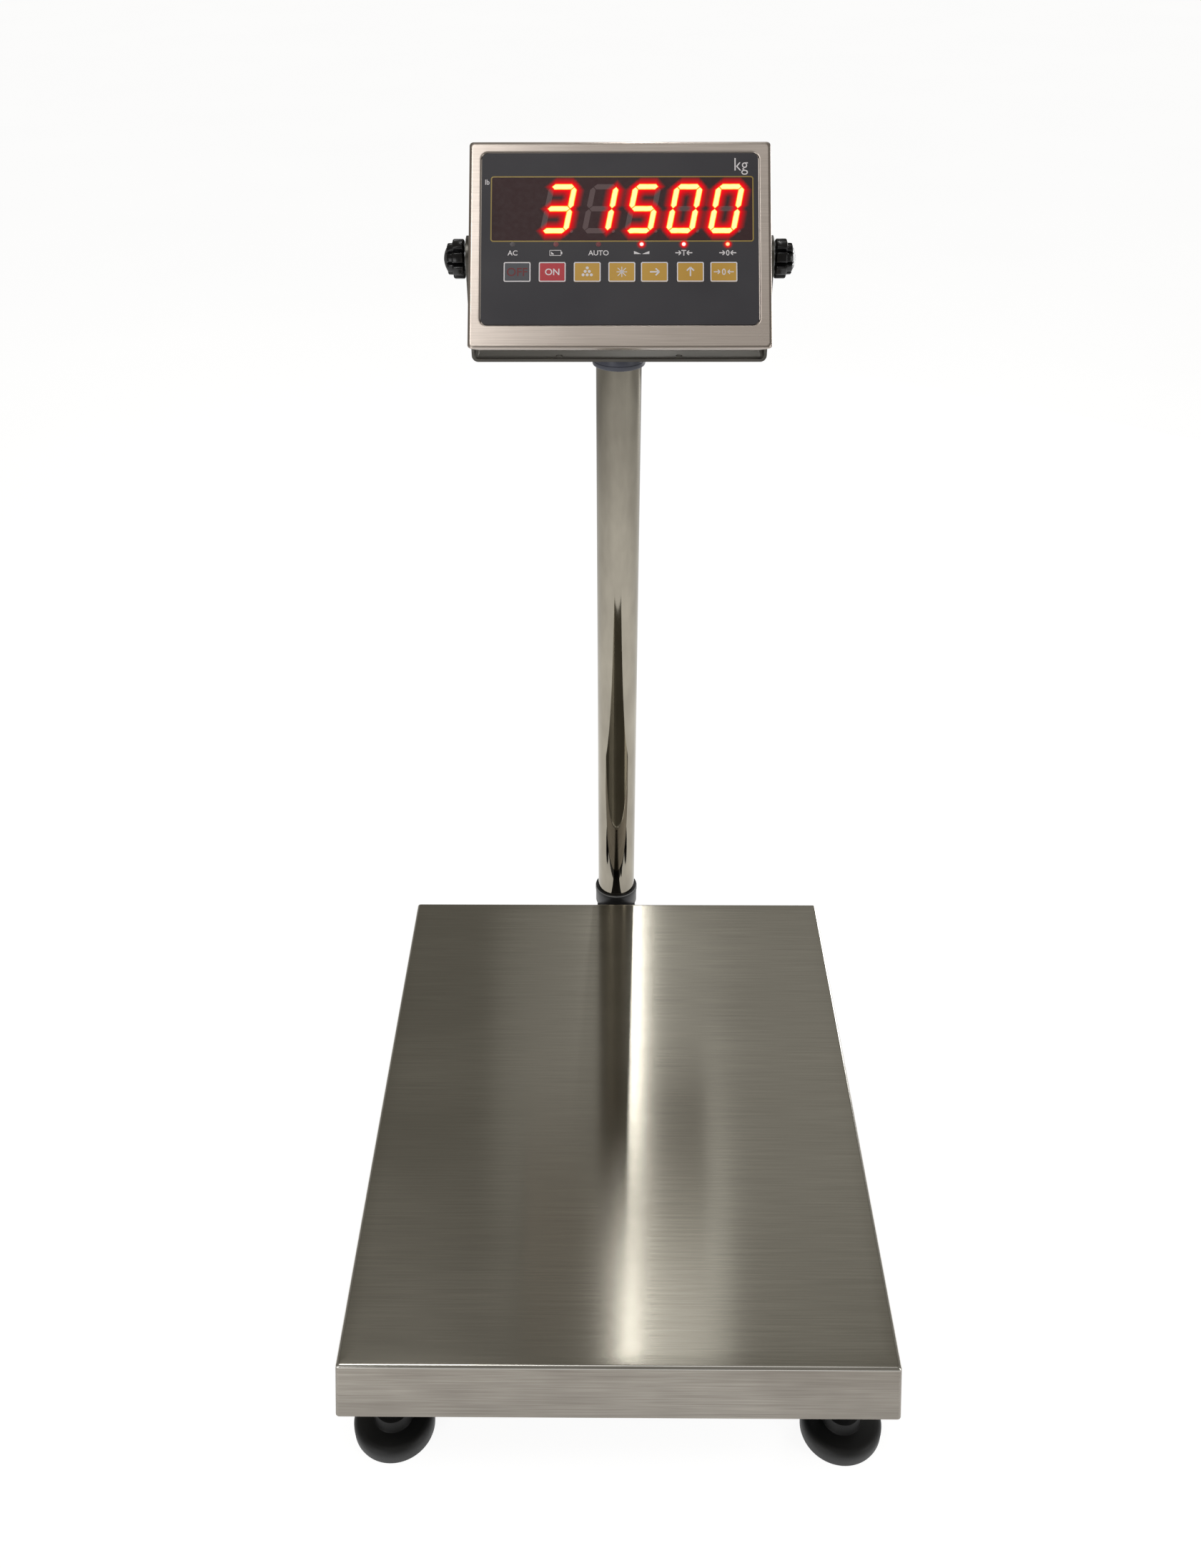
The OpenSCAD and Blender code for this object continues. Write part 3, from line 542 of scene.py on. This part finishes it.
def screw_heads(name, seats, facing, place, material, body, instead_of, **sizes):
    """Heads at seats, in mm in the given place, whose tops face one way."""
    me = bpy.data.meshes.new(name + "_seats")
    me.from_pydata([place @ Vector(p) for p in seats], [], [])
    seat = bpy.data.objects.new(name + "_seats", me)
    bpy.context.scene.collection.objects.link(seat)
    mod = seat.modifiers.new("heads", "NODES")
    mod.node_group = SCREWS
    for label, value in sizes.items():
        mod[SOCKET[label.replace("_", " ").capitalize()]] = value
    mod[SOCKET["Facing"]] = tuple((place.to_3x3() @ Vector(facing)).normalized())
    mod[SOCKET["Finish"]] = material
    bpy.context.view_layer.update()
    result = bpy.data.meshes.new_from_object(seat.evaluated_get(bpy.context.evaluated_depsgraph_get()))
    bpy.data.objects.remove(seat)
    smooth_by_angle(result)
    result.name = name
    if not result.materials:
        result.materials.append(material)
    return settle(bpy.data.objects.new(name, result), body, instead_of)


# The rear cover's own frame: its origin is the middle of the cover's bottom edge
REAR_Y = FACE_Y + CASE_DEPTH * math.cos(WEDGE)
REAR_Z = FACE_LOW + CASE_DEPTH * math.sin(WEDGE)
REAR = HEAD @ Matrix.Translation((0, REAR_Y, REAR_Z)) @ Matrix.Rotation(WEDGE, 4, "X")
REAR_HEIGHT = (FACE_HIGH - FACE_LOW) * math.cos(WEDGE)
COVER_INSET = 6
STOPS = [(x, y, 68) for x in (-150, 150) for y in (110, 390)]
CELL_BOLT = {"Head_radius": 0.0065, "Head_height": 0.005, "Recess_radius": 0.0034, "Recess_depth": 0.005}

screw_heads("cover_screw_heads",
            [(x, 0, z) for x in (COVER_INSET - FACE_HALF, 0, FACE_HALF - COVER_INSET)
             for z in (COVER_INSET, REAR_HEIGHT - COVER_INSET)],
            (0, 1, 0), REAR, zinc, "indicator", ("cover_screws",),
            Head_radius=0.003, Head_height=0.0018, Recess_radius=0.0013, Recess_depth=0.002)
screw_heads("overload_stop_bolts", STOPS, (0, 0, 1), PLAN, zinc, "base", ("overload_stops",),
            Head_radius=0.005, Head_height=0.0275, Recess_radius=0.0025, Recess_depth=0.004)
screw_heads("overload_stop_nuts", STOPS, (0, 0, 1), PLAN, zinc, "base", (),
            Head_radius=0.0092, Head_height=0.007, Recess_radius=0.0052, Recess_depth=0.0004, Sides=6)
screw_heads("live_end_bolts", [(x, 187, 97.5) for x in (-10, 10)],
            (0, 0, 1), PLAN, black_oxide, "base", ("load_cell_bolts",), **CELL_BOLT)
screw_heads("fixed_end_bolts", [(x, 313, 43.5) for x in (-10, 10)],
            (0, 0, -1), PLAN, black_oxide, "base", (), **CELL_BOLT)


# ---------------------------------------------------------------- indicator case

def case():
    """The folded case: rounded face edge, a stepped recess for the film, wedge sides."""
    half, low, high = FACE_HALF, FACE_LOW, FACE_HIGH
    loops = []

    def back(pts, short):
        """Carries an outline on the face along the case's sides to short of the rear plane."""
        out = []
        for x, z in pts:
            s = CASE_DEPTH - short - (z - low) * math.sin(WEDGE)
            out.append((x, FACE_Y + s * math.cos(WEDGE), z + s * math.sin(WEDGE)))
        return out

    def at(y, shrink, r):
        """The case's outline at a depth y, shrunk, and lifted along the wedge."""
        pts = rounded_loop((-half + shrink, half - shrink), (low + shrink, high - shrink), r)
        k = (y - FACE_Y) * math.tan(WEDGE)
        return [(x, y, z + k) for x, z in pts]

    def hole(y, grow, r):
        """The film's recess at a depth y, grown."""
        pts = rounded_loop((-104.5 - grow, 104.5 + grow), (-67.3 - grow, 67.1 + grow), r)
        return [(x, y, z) for x, z in pts]

    loops.append(back(rounded_loop((-half, half), (low, high), 3.0), 2.0))
    loops.append(at(FACE_Y + 4.0, 0, 3.0))
    for i in range(7):
        a = math.radians(90 * i / 6)
        loops.append(at(FACE_Y + 2.4 - 2.4 * math.sin(a), 2.4 - 2.4 * math.cos(a), 3.0))
    loops.append(at(FACE_Y, 2.8, 3.0))
    loops.append(hole(FACE_Y, 1.9, 6.2))
    for i in range(6):
        a = math.radians(90 * i / 5)
        loops.append(hole(FACE_Y + 0.95 - 0.95 * math.cos(a), 1.5 - 1.0 * math.sin(a), 6.0))
    loops.append(hole(FACE_Y + 1.0, 0.3, 5.3))
    loops.append(hole(FACE_Y + 1.0, -4.0, 2.0))
    loops.append(hole(FACE_Y + 2.5, -4.0, 2.0))
    loops.append([(x, FACE_Y + 2.5, z) for x, z in rounded_loop((-112.7, 112.7), (-83.4, 75.4), 1.5)])
    loops.append(back(rounded_loop((-half + 1.5, half - 1.5), (low + 1.5, high - 1.5), 1.5), 3.5))
    loops.append(back(rounded_loop((-half + 12, half - 12), (low + 12, high - 12), 3), 3.5))
    loops.append(back(rounded_loop((-half + 12, half - 12), (low + 12, high - 12), 3), 2.0))
    pts, faces = skin(loops, closed=True)
    obj = piece("case_folded", pts, faces, case_steel, "indicator", HEAD, instead_of=("case_shell",))
    outward(obj.data)
    lay_grain(obj.data, HEAD)
    smooth_by_angle(obj.data, 40)


case()
lay_grain(dressed("rear_cover", case_steel, "indicator", 0.4).data, HEAD)
dressed("pivot_bosses", zinc, "indicator", 0.3)
dressed("friction_washers", washer_nylon, "indicator", 0.15)
dressed("head_gland", gland_nylon, "indicator", 0.3)
dressed("battery", battery_abs, "indicator", 1.0)


def finish(node, material):
    """Gives a CAD node that keeps its own mesh its material."""
    NODES[node].data.materials.clear()
    NODES[node].data.materials.append(material)


for name, material in (("keypad_overlay", panel_film), ("digit_modules", module_black),
                       ("status_leds", led_off), ("display_board", board_mask),
                       ("key_switches", module_black), ("main_board", board_mask),
                       ("display_window", filter_back)):
    finish(name, material)


# ---------------------------------------------------------------- display

DIGIT_X = (-77.7, -46.2, -14.7, 17.3, 48.6, 80.1)
DIGIT_Z = 23.2
SLANT = math.tan(math.radians(11))
BAR_HALF = 2.15
MID_BAR = 19.4 - BAR_HALF
REACH = 8.6
# Each bar's middle, its half length, and whether it lies across
BARS = {
    "a": (0, MID_BAR, REACH, True), "b": (REACH, MID_BAR / 2, MID_BAR / 2, False),
    "c": (REACH, -MID_BAR / 2, MID_BAR / 2, False), "d": (0, -MID_BAR, REACH, True),
    "e": (-REACH, -MID_BAR / 2, MID_BAR / 2, False), "f": (-REACH, MID_BAR / 2, MID_BAR / 2, False),
    "g": (0, 0, REACH, True)}
SHOWN = ("", "abcdg", "bc", "acdfg", "abcdef", "abcdef")


def bar_outline(x, z, reach, across, grow):
    """Six corners of one bar before the slant, anticlockwise, grown outward by grow."""
    a, b = reach - 0.25 + grow, BAR_HALF + grow
    c = a - b
    pts = [(a, 0), (c, b), (-c, b), (-a, 0), (-c, -b), (c, -b)]
    if not across:
        pts = [(-q, p) for p, q in pts]
    return [(x + p, z + q) for p, q in pts]


def slanted(pts, dx, y):
    """Leans a digit's outline and puts it at dx along the row, at a depth y."""
    return [(dx + x + SLANT * z, y, DIGIT_Z + z) for x, z in pts]


def put(store, outer, inner, core):
    """Adds one bar: an outer ring at core 0, an inner ring, and a spine at core 1."""
    pts, faces, values = store
    n, base = len(outer), len(pts)
    pts += outer + inner
    values += [0.0] * n + [0.55] * n
    for i in range(n):
        j = (i + 1) % n
        faces.append((base + i, base + j, base + n + j, base + n + i))
    if core:
        pts += core
        values += [1.0] * n
        for i in range(n):
            j = (i + 1) % n
            faces.append((base + n + i, base + n + j, base + 2 * n + j, base + 2 * n + i))
        faces.append(tuple(base + 2 * n + i for i in range(n)))
    else:
        faces.append(tuple(base + n + i for i in range(n)))


def ring(store, inner, middle, outer):
    """Adds the glow round one bar, from core 1 at the bar to core 0 outside."""
    pts, faces, values = store
    n, base = len(inner), len(pts)
    pts += inner + middle + outer
    values += [1.0] * n + [0.62] * n + [0.0] * n
    for k in (0, n):
        for i in range(n):
            j = (i + 1) % n
            faces.append((base + k + i, base + k + n + i, base + k + n + j, base + k + j))


def round_dot(x, z, r, n=18):
    """Corners of a printed or moulded dot."""
    return [(x + r * math.cos(2 * math.pi * i / n), z + r * math.sin(2 * math.pi * i / n)) for i in range(n)]


def display():
    """Bars behind the filter: lit ones with a bright spine, unlit ones as faint ghosts."""
    lit = ([], [], [])
    ghost = ([], [], [])
    glow = ([], [], [])
    lit_y, glow_y, ghost_y = FACE_Y + 0.30, FACE_Y + 0.34, FACE_Y + 0.36

    def bar(key, grow, dx, y):
        return slanted(bar_outline(*BARS[key], grow), dx, y)

    for dx, shown in zip(DIGIT_X, SHOWN):
        for key in BARS:
            if key in shown:
                put(lit, bar(key, 0.35, dx, lit_y), bar(key, -0.35, dx, lit_y - 0.02),
                    bar(key, -1.5, dx, lit_y - 0.04))
            elif shown:
                put(ghost, bar(key, -0.1, dx, ghost_y), bar(key, -1.0, dx, ghost_y), None)
        if shown:
            dot_x, dot_z = REACH + 4.6, -MID_BAR - 0.4
            put(ghost, slanted(round_dot(dot_x, dot_z, 1.3, 6), dx, ghost_y),
                slanted(round_dot(dot_x, dot_z, 0.4, 6), dx, ghost_y), None)
        for n, key in enumerate(shown):
            y = glow_y - 0.004 * n
            ring(glow, bar(key, 0.2, dx, y), bar(key, 1.9, dx, y + 0.0005), bar(key, 6.4, dx, y + 0.001))
    piece("lit_bars", lit[0], lit[1], lit_bar, "indicator", HEAD, lit[2], False, ("segments_lit",))
    piece("unlit_bars", ghost[0], ghost[1], ghost_bar, "indicator", HEAD, ghost[2], False,
          ("segments_unlit",))
    piece("bar_glow", glow[0], glow[1], halo, "indicator", HEAD, glow[2], False)


display()


def disc(name, x, z, r, y, material, falloff=((1.0, 0.0), (0.6, 0.6), (0.25, 1.0)), n=28):
    """A round lamp face in rings, from its rim at core 0 to its middle at core 1."""
    pts, faces, values = [], [], []
    for k, (scale, value) in enumerate(falloff):
        for i in range(n):
            a = 2 * math.pi * i / n
            pts.append((x + r * scale * math.cos(a), y - 0.02 * k, z + r * scale * math.sin(a)))
            values.append(value)
    for k in range(len(falloff) - 1):
        for i in range(n):
            j = (i + 1) % n
            faces.append((k * n + i, k * n + j, (k + 1) * n + j, (k + 1) * n + i))
    faces.append(tuple((len(falloff) - 1) * n + i for i in range(n)))
    piece(name, pts, faces, material, "indicator", HEAD, values)


LED_X = (-80.8, -48.1, -16.1, 16.4, 48.1, 81.1)
LED_Z = -4.6
LEDS = (led_off, led_off_red, led_off_red, led_white, led_white, led_orange)
for i, (x, led) in enumerate(zip(LED_X, LEDS)):
    disc(f"status_lamp_{i}", x, LED_Z, 1.95, FACE_Y + 0.33, led)
    if led in (led_white, led_orange):
        disc(f"status_glow_{i}", x, LED_Z, 4.6, FACE_Y + 0.36, halo, ((1.0, 0.0), (0.7, 0.25), (0.42, 0.8)))


# ---------------------------------------------------------------- printed panel

def band(name, outer, inner, y, material, body):
    """A printed outline between two equal loops in (x, z)."""
    n = len(outer)
    pts = [(x, y, z) for x, z in outer] + [(x, y, z) for x, z in inner]
    faces = [(i, (i + 1) % n, n + (i + 1) % n, n + i) for i in range(n)]
    return piece(name, pts, faces, material, body, HEAD, smooth=False)


band("window_gold_line", rounded_loop((-97.6, 100.8), (-2.7, 48.8), 2.2),
     rounded_loop((-96.7, 99.9), (-1.8, 47.9), 1.4), INK_Y, gold_ink, "indicator")


def flat_shapes(name, shapes, y, material, body):
    """Printed flat shapes, each a list of (x, z) corners anticlockwise as seen from the front."""
    pts, faces = [], []
    for shape in shapes:
        faces.append(tuple(range(len(pts), len(pts) + len(shape))))
        pts += [(x, y, z) for x, z in shape]
    return piece(name, pts, faces, material, body, HEAD, smooth=False)


def lettering(name, text, x, z, height, y, material, body, squeeze=1.0, bold=0.012):
    """Generic unit and key lettering, as a flat mesh centred at x, z."""
    curve = bpy.data.curves.new(name, "FONT")
    curve.body = text
    curve.align_x = "CENTER"
    curve.align_y = "CENTER"
    curve.size = 1.0
    curve.resolution_u = 4
    curve.offset = bold
    temp = bpy.data.objects.new(name + "_text", curve)
    bpy.context.scene.collection.objects.link(temp)
    bpy.context.view_layer.update()
    me = bpy.data.meshes.new_from_object(temp.evaluated_get(bpy.context.evaluated_depsgraph_get()))
    bpy.data.objects.remove(temp)
    me.name = name
    xs = [v.co.x for v in me.vertices]
    ys = [v.co.y for v in me.vertices]
    k = height / (max(ys) - min(ys))
    cx, cy = (max(xs) + min(xs)) / 2, (max(ys) + min(ys)) / 2
    for v in me.vertices:
        p = v.co
        v.co = HEAD @ Vector((x + (p.x - cx) * k * squeeze, y, z + (p.y - cy) * k))
    me.materials.clear()
    me.materials.append(material)
    return settle(bpy.data.objects.new(name, me), body)


def stroke(a, b, w):
    """A straight bar from a to b of width w, as four corners."""
    d = Vector((b[0] - a[0], b[1] - a[1])).normalized() * (w / 2)
    return [(a[0] - d.y, a[1] + d.x), (a[0] + d.y, a[1] - d.x),
            (b[0] + d.y, b[1] - d.x), (b[0] - d.y, b[1] + d.x)]


def arrow(tail, tip, w, barb):
    """An open arrow: a shaft and two barbs."""
    d = Vector((tip[0] - tail[0], tip[1] - tail[1])).normalized()
    n = Vector((-d.y, d.x))
    t = Vector(tip)
    end = t - d * (w * 0.7)
    return [stroke(tail, tuple(end), w),
            stroke(tuple(t - d * barb + n * barb), tuple(t), w),
            stroke(tuple(t - d * barb - n * barb), tuple(t), w)]


LABEL_Z = -11.4
for name, text, x, z, height, squeeze, bold in (
        ("unit_kg", "kg", 91.6, 56.4, 13.2, 0.84, -0.006), ("unit_lb", "lb", -100.2, 44.2, 4.0, 0.9, 0.012),
        ("mains", "AC", -80.8, LABEL_Z, 4.0, 1.0, 0.012), ("auto", "AUTO", -16.1, LABEL_Z, 4.0, 1.0, 0.012),
        ("tare", "T", 48.1, LABEL_Z, 4.4, 1.0, 0.012), ("zero", "0", 81.1, LABEL_Z, 4.4, 0.9, 0.012)):
    lettering("label_" + name, text, x, z, height, INK_Y, white_ink, "indicator", squeeze, bold)
signs = []
# Arrows point inward at the tare and zero letters
for x in (48.1, 81.1):
    signs += arrow((x - 6.4, LABEL_Z), (x - 2.2, LABEL_Z), 0.8, 1.7)
    signs += arrow((x + 6.4, LABEL_Z), (x + 2.2, LABEL_Z), 0.8, 1.7)
# The two halves of a level balance
signs += [[(10.6, LABEL_Z + 1.4), (10.6, LABEL_Z - 0.9), (16.2, LABEL_Z - 0.9)],
          [(22.2, LABEL_Z + 1.4), (16.6, LABEL_Z - 0.9), (22.2, LABEL_Z - 0.9)]]
# The battery sign: a box in outline, its terminal and a low charge
left, right, low, high = -48.1 - 4.6, -48.1 + 3.8, LABEL_Z - 2, LABEL_Z + 2
signs += [stroke(a, b, 0.4) for a, b in (((left, high), (right, high)), ((left, low), (right, low)),
                                         ((left, low), (left, high)), ((right, low), (right, high)))]
signs += [stroke((right + 0.6, LABEL_Z - 0.9), (right + 0.6, LABEL_Z + 0.9), 0.8),
          [(left + 1.0, low + 0.8), (left + 3.4, low + 0.8), (left + 1.0, high - 1.0)]]
flat_shapes("status_signs", signs, INK_Y, white_ink, "indicator")


# ---------------------------------------------------------------- keys

KEYS = {"off": (-77.2, key_grey), "on": (-50.8, key_red), "count": (-24.5, key_yellow),
        "star": (1.5, key_yellow), "shift": (26.0, key_yellow), "up": (53.0, key_yellow),
        "zero": (78.1, key_yellow)}
KEY_Z = -26.3
KEY_Y = FACE_Y + 0.25
KEY_INK = KEY_Y - 0.06
for key, (x, film) in KEYS.items():
    finish("key_" + key, film)
    band("key_" + key + "_outline", rounded_loop((x - 10.15, x + 10.15), (KEY_Z - 7.7, KEY_Z + 7.7), 1.2),
         rounded_loop((x - 9.3, x + 9.3), (KEY_Z - 6.85, KEY_Z + 6.85), 0.7),
         KEY_INK, white_ink, "key_" + key)
lettering("key_off_word", "OFF", KEYS["off"][0], KEY_Z, 6.6, KEY_INK, dim_red_ink, "key_off")
lettering("key_on_word", "ON", KEYS["on"][0], KEY_Z, 5.2, KEY_INK, white_ink, "key_on")
flat_shapes("key_count_dots", [round_dot(KEYS["count"][0] + dx, KEY_Z + dz, 1.15) for dx, dz in
                               ((0, 3.1), (-1.55, 0.4), (1.55, 0.4), (-3.1, -2.3), (0, -2.3), (3.1, -2.3))],
            KEY_INK, white_ink, "key_count")
rays = []
star_x = KEYS["star"][0]
for i in range(4):
    r = 4.0 if i % 2 == 0 else 4.4
    dx, dz = r * math.cos(math.radians(45 * i)), r * math.sin(math.radians(45 * i))
    rays.append(stroke((star_x - dx, KEY_Z - dz), (star_x + dx, KEY_Z + dz), 0.62))
flat_shapes("key_star_rays", rays, KEY_INK, white_ink, "key_star")
flat_shapes("key_shift_arrow", arrow((22.6, KEY_Z), (29.6, KEY_Z), 1.1, 2.7), KEY_INK, white_ink, "key_shift")
flat_shapes("key_up_arrow", arrow((53, KEY_Z - 3.4), (53, KEY_Z + 3.6), 1.1, 2.7),
            KEY_INK, white_ink, "key_up")
lettering("key_zero_digit", "0", KEYS["zero"][0], KEY_Z, 5.0, KEY_INK, white_ink, "key_zero", 0.9)
flat_shapes("key_zero_arrows", arrow((70.6, KEY_Z), (75.2, KEY_Z), 0.75, 1.6)
            + arrow((85.6, KEY_Z), (81.0, KEY_Z), 0.75, 1.6), KEY_INK, white_ink, "key_zero")


# ---------------------------------------------------------------- knobs

def knob(side, sign):
    """Fluted knob: eight rounded lobes, a smaller fluted shoulder and a domed cap."""
    # The seat is outside the bracket's wall and the washer, with a gap on both sides of it
    gap, washer = 0.3, 1.2
    start = 118.3 + gap + washer + gap
    n = 192

    def radius(a, top, depth):
        """The knob's radius at an angle, with eight flutes of the given depth."""
        wave = abs(math.sin(4 * a))
        return top - depth * max(0.0, 1 - wave / 0.55) ** 0.8

    # Distance out from the seat, radius and flute depth
    rings = [(0, 3.1, 0), (0, 13.3, 3.0), (0.6, 14.2, 3.3), (1.2, 14.5, 3.4), (7.8, 14.5, 3.4),
             (8.6, 14.1, 3.3), (9.0, 13.3, 2.9), (9.1, 11.6, 2.4), (12.6, 11.4, 2.4),
             (13.2, 10.8, 2.0), (13.4, 9.2, 0.2), (13.5, 8.9, 0),
             (14.3, 7.8, 0), (15.2, 5.9, 0), (15.9, 3.6, 0), (16.3, 1.4, 0), (16.35, 0.05, 0)]
    loops = []
    for x, r, d in rings:
        loops.append([(sign * (start + x), radius(2 * math.pi * i / n, r, d) * math.cos(2 * math.pi * i / n),
                       radius(2 * math.pi * i / n, r, d) * math.sin(2 * math.pi * i / n)) for i in range(n)])
    # The stud reaches into the case's boss and has a chamfered end
    stud = [[(sign * x, 3 * math.cos(2 * math.pi * i / n), 3 * math.sin(2 * math.pi * i / n))
             for i in range(n)] for x in (100.3, 100.8, start - 0.02)]
    stud[0] = [(x, y * 0.8, z * 0.8) for x, y, z in stud[0]]
    pts, faces = skin(stud + loops)
    obj = piece("knob_" + side + "_fluted", pts, faces, knob_black, "knob_" + side, HEAD,
                instead_of=("knob_" + side,))
    outward(obj.data)
    smooth_by_angle(obj.data, 50)
    obj.data.materials.append(zinc)
    for f in obj.data.polygons:
        if abs(f.center.x) < (start - gap) * MM:
            f.material_index = 1
    dressed("knob_washer_" + side, zinc, "washer_" + side, 0.2)


knob("left", -1)
knob("right", 1)


# ---------------------------------------------------------------- floor, light and camera

def floor():
    """A white floor. What it adds to reflections dies away with distance, as its light does."""
    m, t = blank("floor_pale_matt")
    cloud = scaled_noise(t, (1.5, 1.5, 1.5), 2.0)
    reach = add(t, "ShaderNodeVectorMath", {
        0: add(t, "ShaderNodeTexCoord").outputs["Object"]}, operation="LENGTH").outputs["Value"]
    faded = add(t, "ShaderNodeMapRange", {0: reach, 1: 0.7, 2: 1.9, 3: 0.93, 4: 0.26}).outputs[0]
    direct = add(t, "ShaderNodeLightPath").outputs["Is Camera Ray"]
    glow = add(t, "ShaderNodeMapRange", {0: direct, 3: faded, 4: 0.93}).outputs[0]
    shader = add(t, "ShaderNodeBsdfPrincipled", {
        "Base Color": ramp(t, cloud, (0.3, srgb("#8e8e8e")), (0.7, srgb("#969696"))), "Roughness": 0.9,
        "Emission Color": srgb("#fcfcfc"), "Emission Strength": glow})
    close(m, t, shader.outputs[0])
    me = bpy.data.meshes.new("floor")
    me.from_pydata([(-40, -40, 0), (40, -40, 0), (40, 40, 0), (-40, 40, 0)], [], [(0, 1, 2, 3)])
    me.materials.append(m)
    obj = bpy.data.objects.new("floor", me)
    bpy.context.scene.collection.objects.link(obj)


floor()


def panel_light(name, at, aim, size, power, shape="RECTANGLE"):
    data = bpy.data.lights.new(name, "AREA")
    data.shape = shape
    data.size, data.size_y = size
    data.energy = power
    obj = bpy.data.objects.new(name, data)
    facing = (Vector(at) - Vector(aim)).to_track_quat("Z", "Y")
    obj.matrix_world = Matrix.Translation(at) @ facing.to_matrix().to_4x4()
    bpy.context.scene.collection.objects.link(obj)


panel_light("left_overhead_softbox", (-0.62, -0.55, 2.5), (0, 0.2, 0.6), (0.45, 1.0), 6.5)
panel_light("broad_overhead_softbox", (0.1, -0.5, 2.55), (0, 0.2, 0.6), (1.2, 1.0), 2.4)
# The strip stands just right of the column, so its streak on the pan passes the column's reflection
panel_light("back_strip", (0.057, 1.7, 2.05), (0.015, -0.05, 0.13), (0.014, 1.7), 1.9)
panel_light("front_glow_lamp", (0.14, 1.15, 2.35), (0.04, -0.28, 0.13), (0.34, 0.6), 0.9, "ELLIPSE")
panel_light("right_back_softbox", (0.4, 1.7, 2.0), (0.15, -0.05, 0.13), (1.5, 1.5), 1.7, "ELLIPSE")
panel_light("right_rim_card", (1.3, 1.6, 0.45), (0.2, 0, 0.13), (0.8, 0.8), 10)
panel_light("front_fill", (-1.4, -2.2, 0.8), (0, 0, 0.4), (1.2, 1.2), 10)
panel_light("right_fill", (2.0, -1.2, 1.0), (0, 0, 0.4), (0.6, 1.4), 8)

world = bpy.data.worlds.new("studio")
bpy.context.scene.world = world
world.use_nodes = True
world.node_tree.nodes.clear()
# The room reflects as a dim warm grey, and is seen as white as the floor
room = add(world.node_tree, "ShaderNodeBackground", {"Color": srgb("#d8d4cb"), "Strength": 0.29}).outputs[0]
seen = add(world.node_tree, "ShaderNodeBackground", {"Color": srgb("#fcfcfc"), "Strength": 0.95}).outputs[0]
direct = add(world.node_tree, "ShaderNodeLightPath").outputs["Is Camera Ray"]
sky = add(world.node_tree, "ShaderNodeMixShader", {0: direct, 1: room, 2: seen})
add(world.node_tree, "ShaderNodeOutputWorld", {0: sky.outputs[0]})


def camera():
    """Eye level above the indicator, looking down on the pan from the front."""
    pitch, yaw, roll = math.radians(35.55), math.radians(-0.54), math.radians(0.2)
    ahead = Vector((math.sin(yaw) * math.cos(pitch), math.cos(yaw) * math.cos(pitch), -math.sin(pitch)))
    level = Vector((math.cos(yaw), -math.sin(yaw), 0))
    down = ahead.cross(level)
    right = math.cos(roll) * level + math.sin(roll) * down
    below = -math.sin(roll) * level + math.cos(roll) * down
    data = bpy.data.cameras.new("camera")
    data.sensor_fit = "AUTO"
    data.sensor_width = 36
    data.lens = 30.874
    data.clip_start = 0.02
    obj = bpy.data.objects.new("camera", data)
    turn = Matrix((right, -below, -ahead)).transposed().to_4x4()
    obj.matrix_world = Matrix.Translation((-0.006, (-530.4 - PLAN_MID) * MM, (884.1 + 130) * MM)) @ turn
    bpy.context.scene.collection.objects.link(obj)
    bpy.context.scene.camera = obj


camera()
bpy.context.scene.view_settings.view_transform = "Standard"
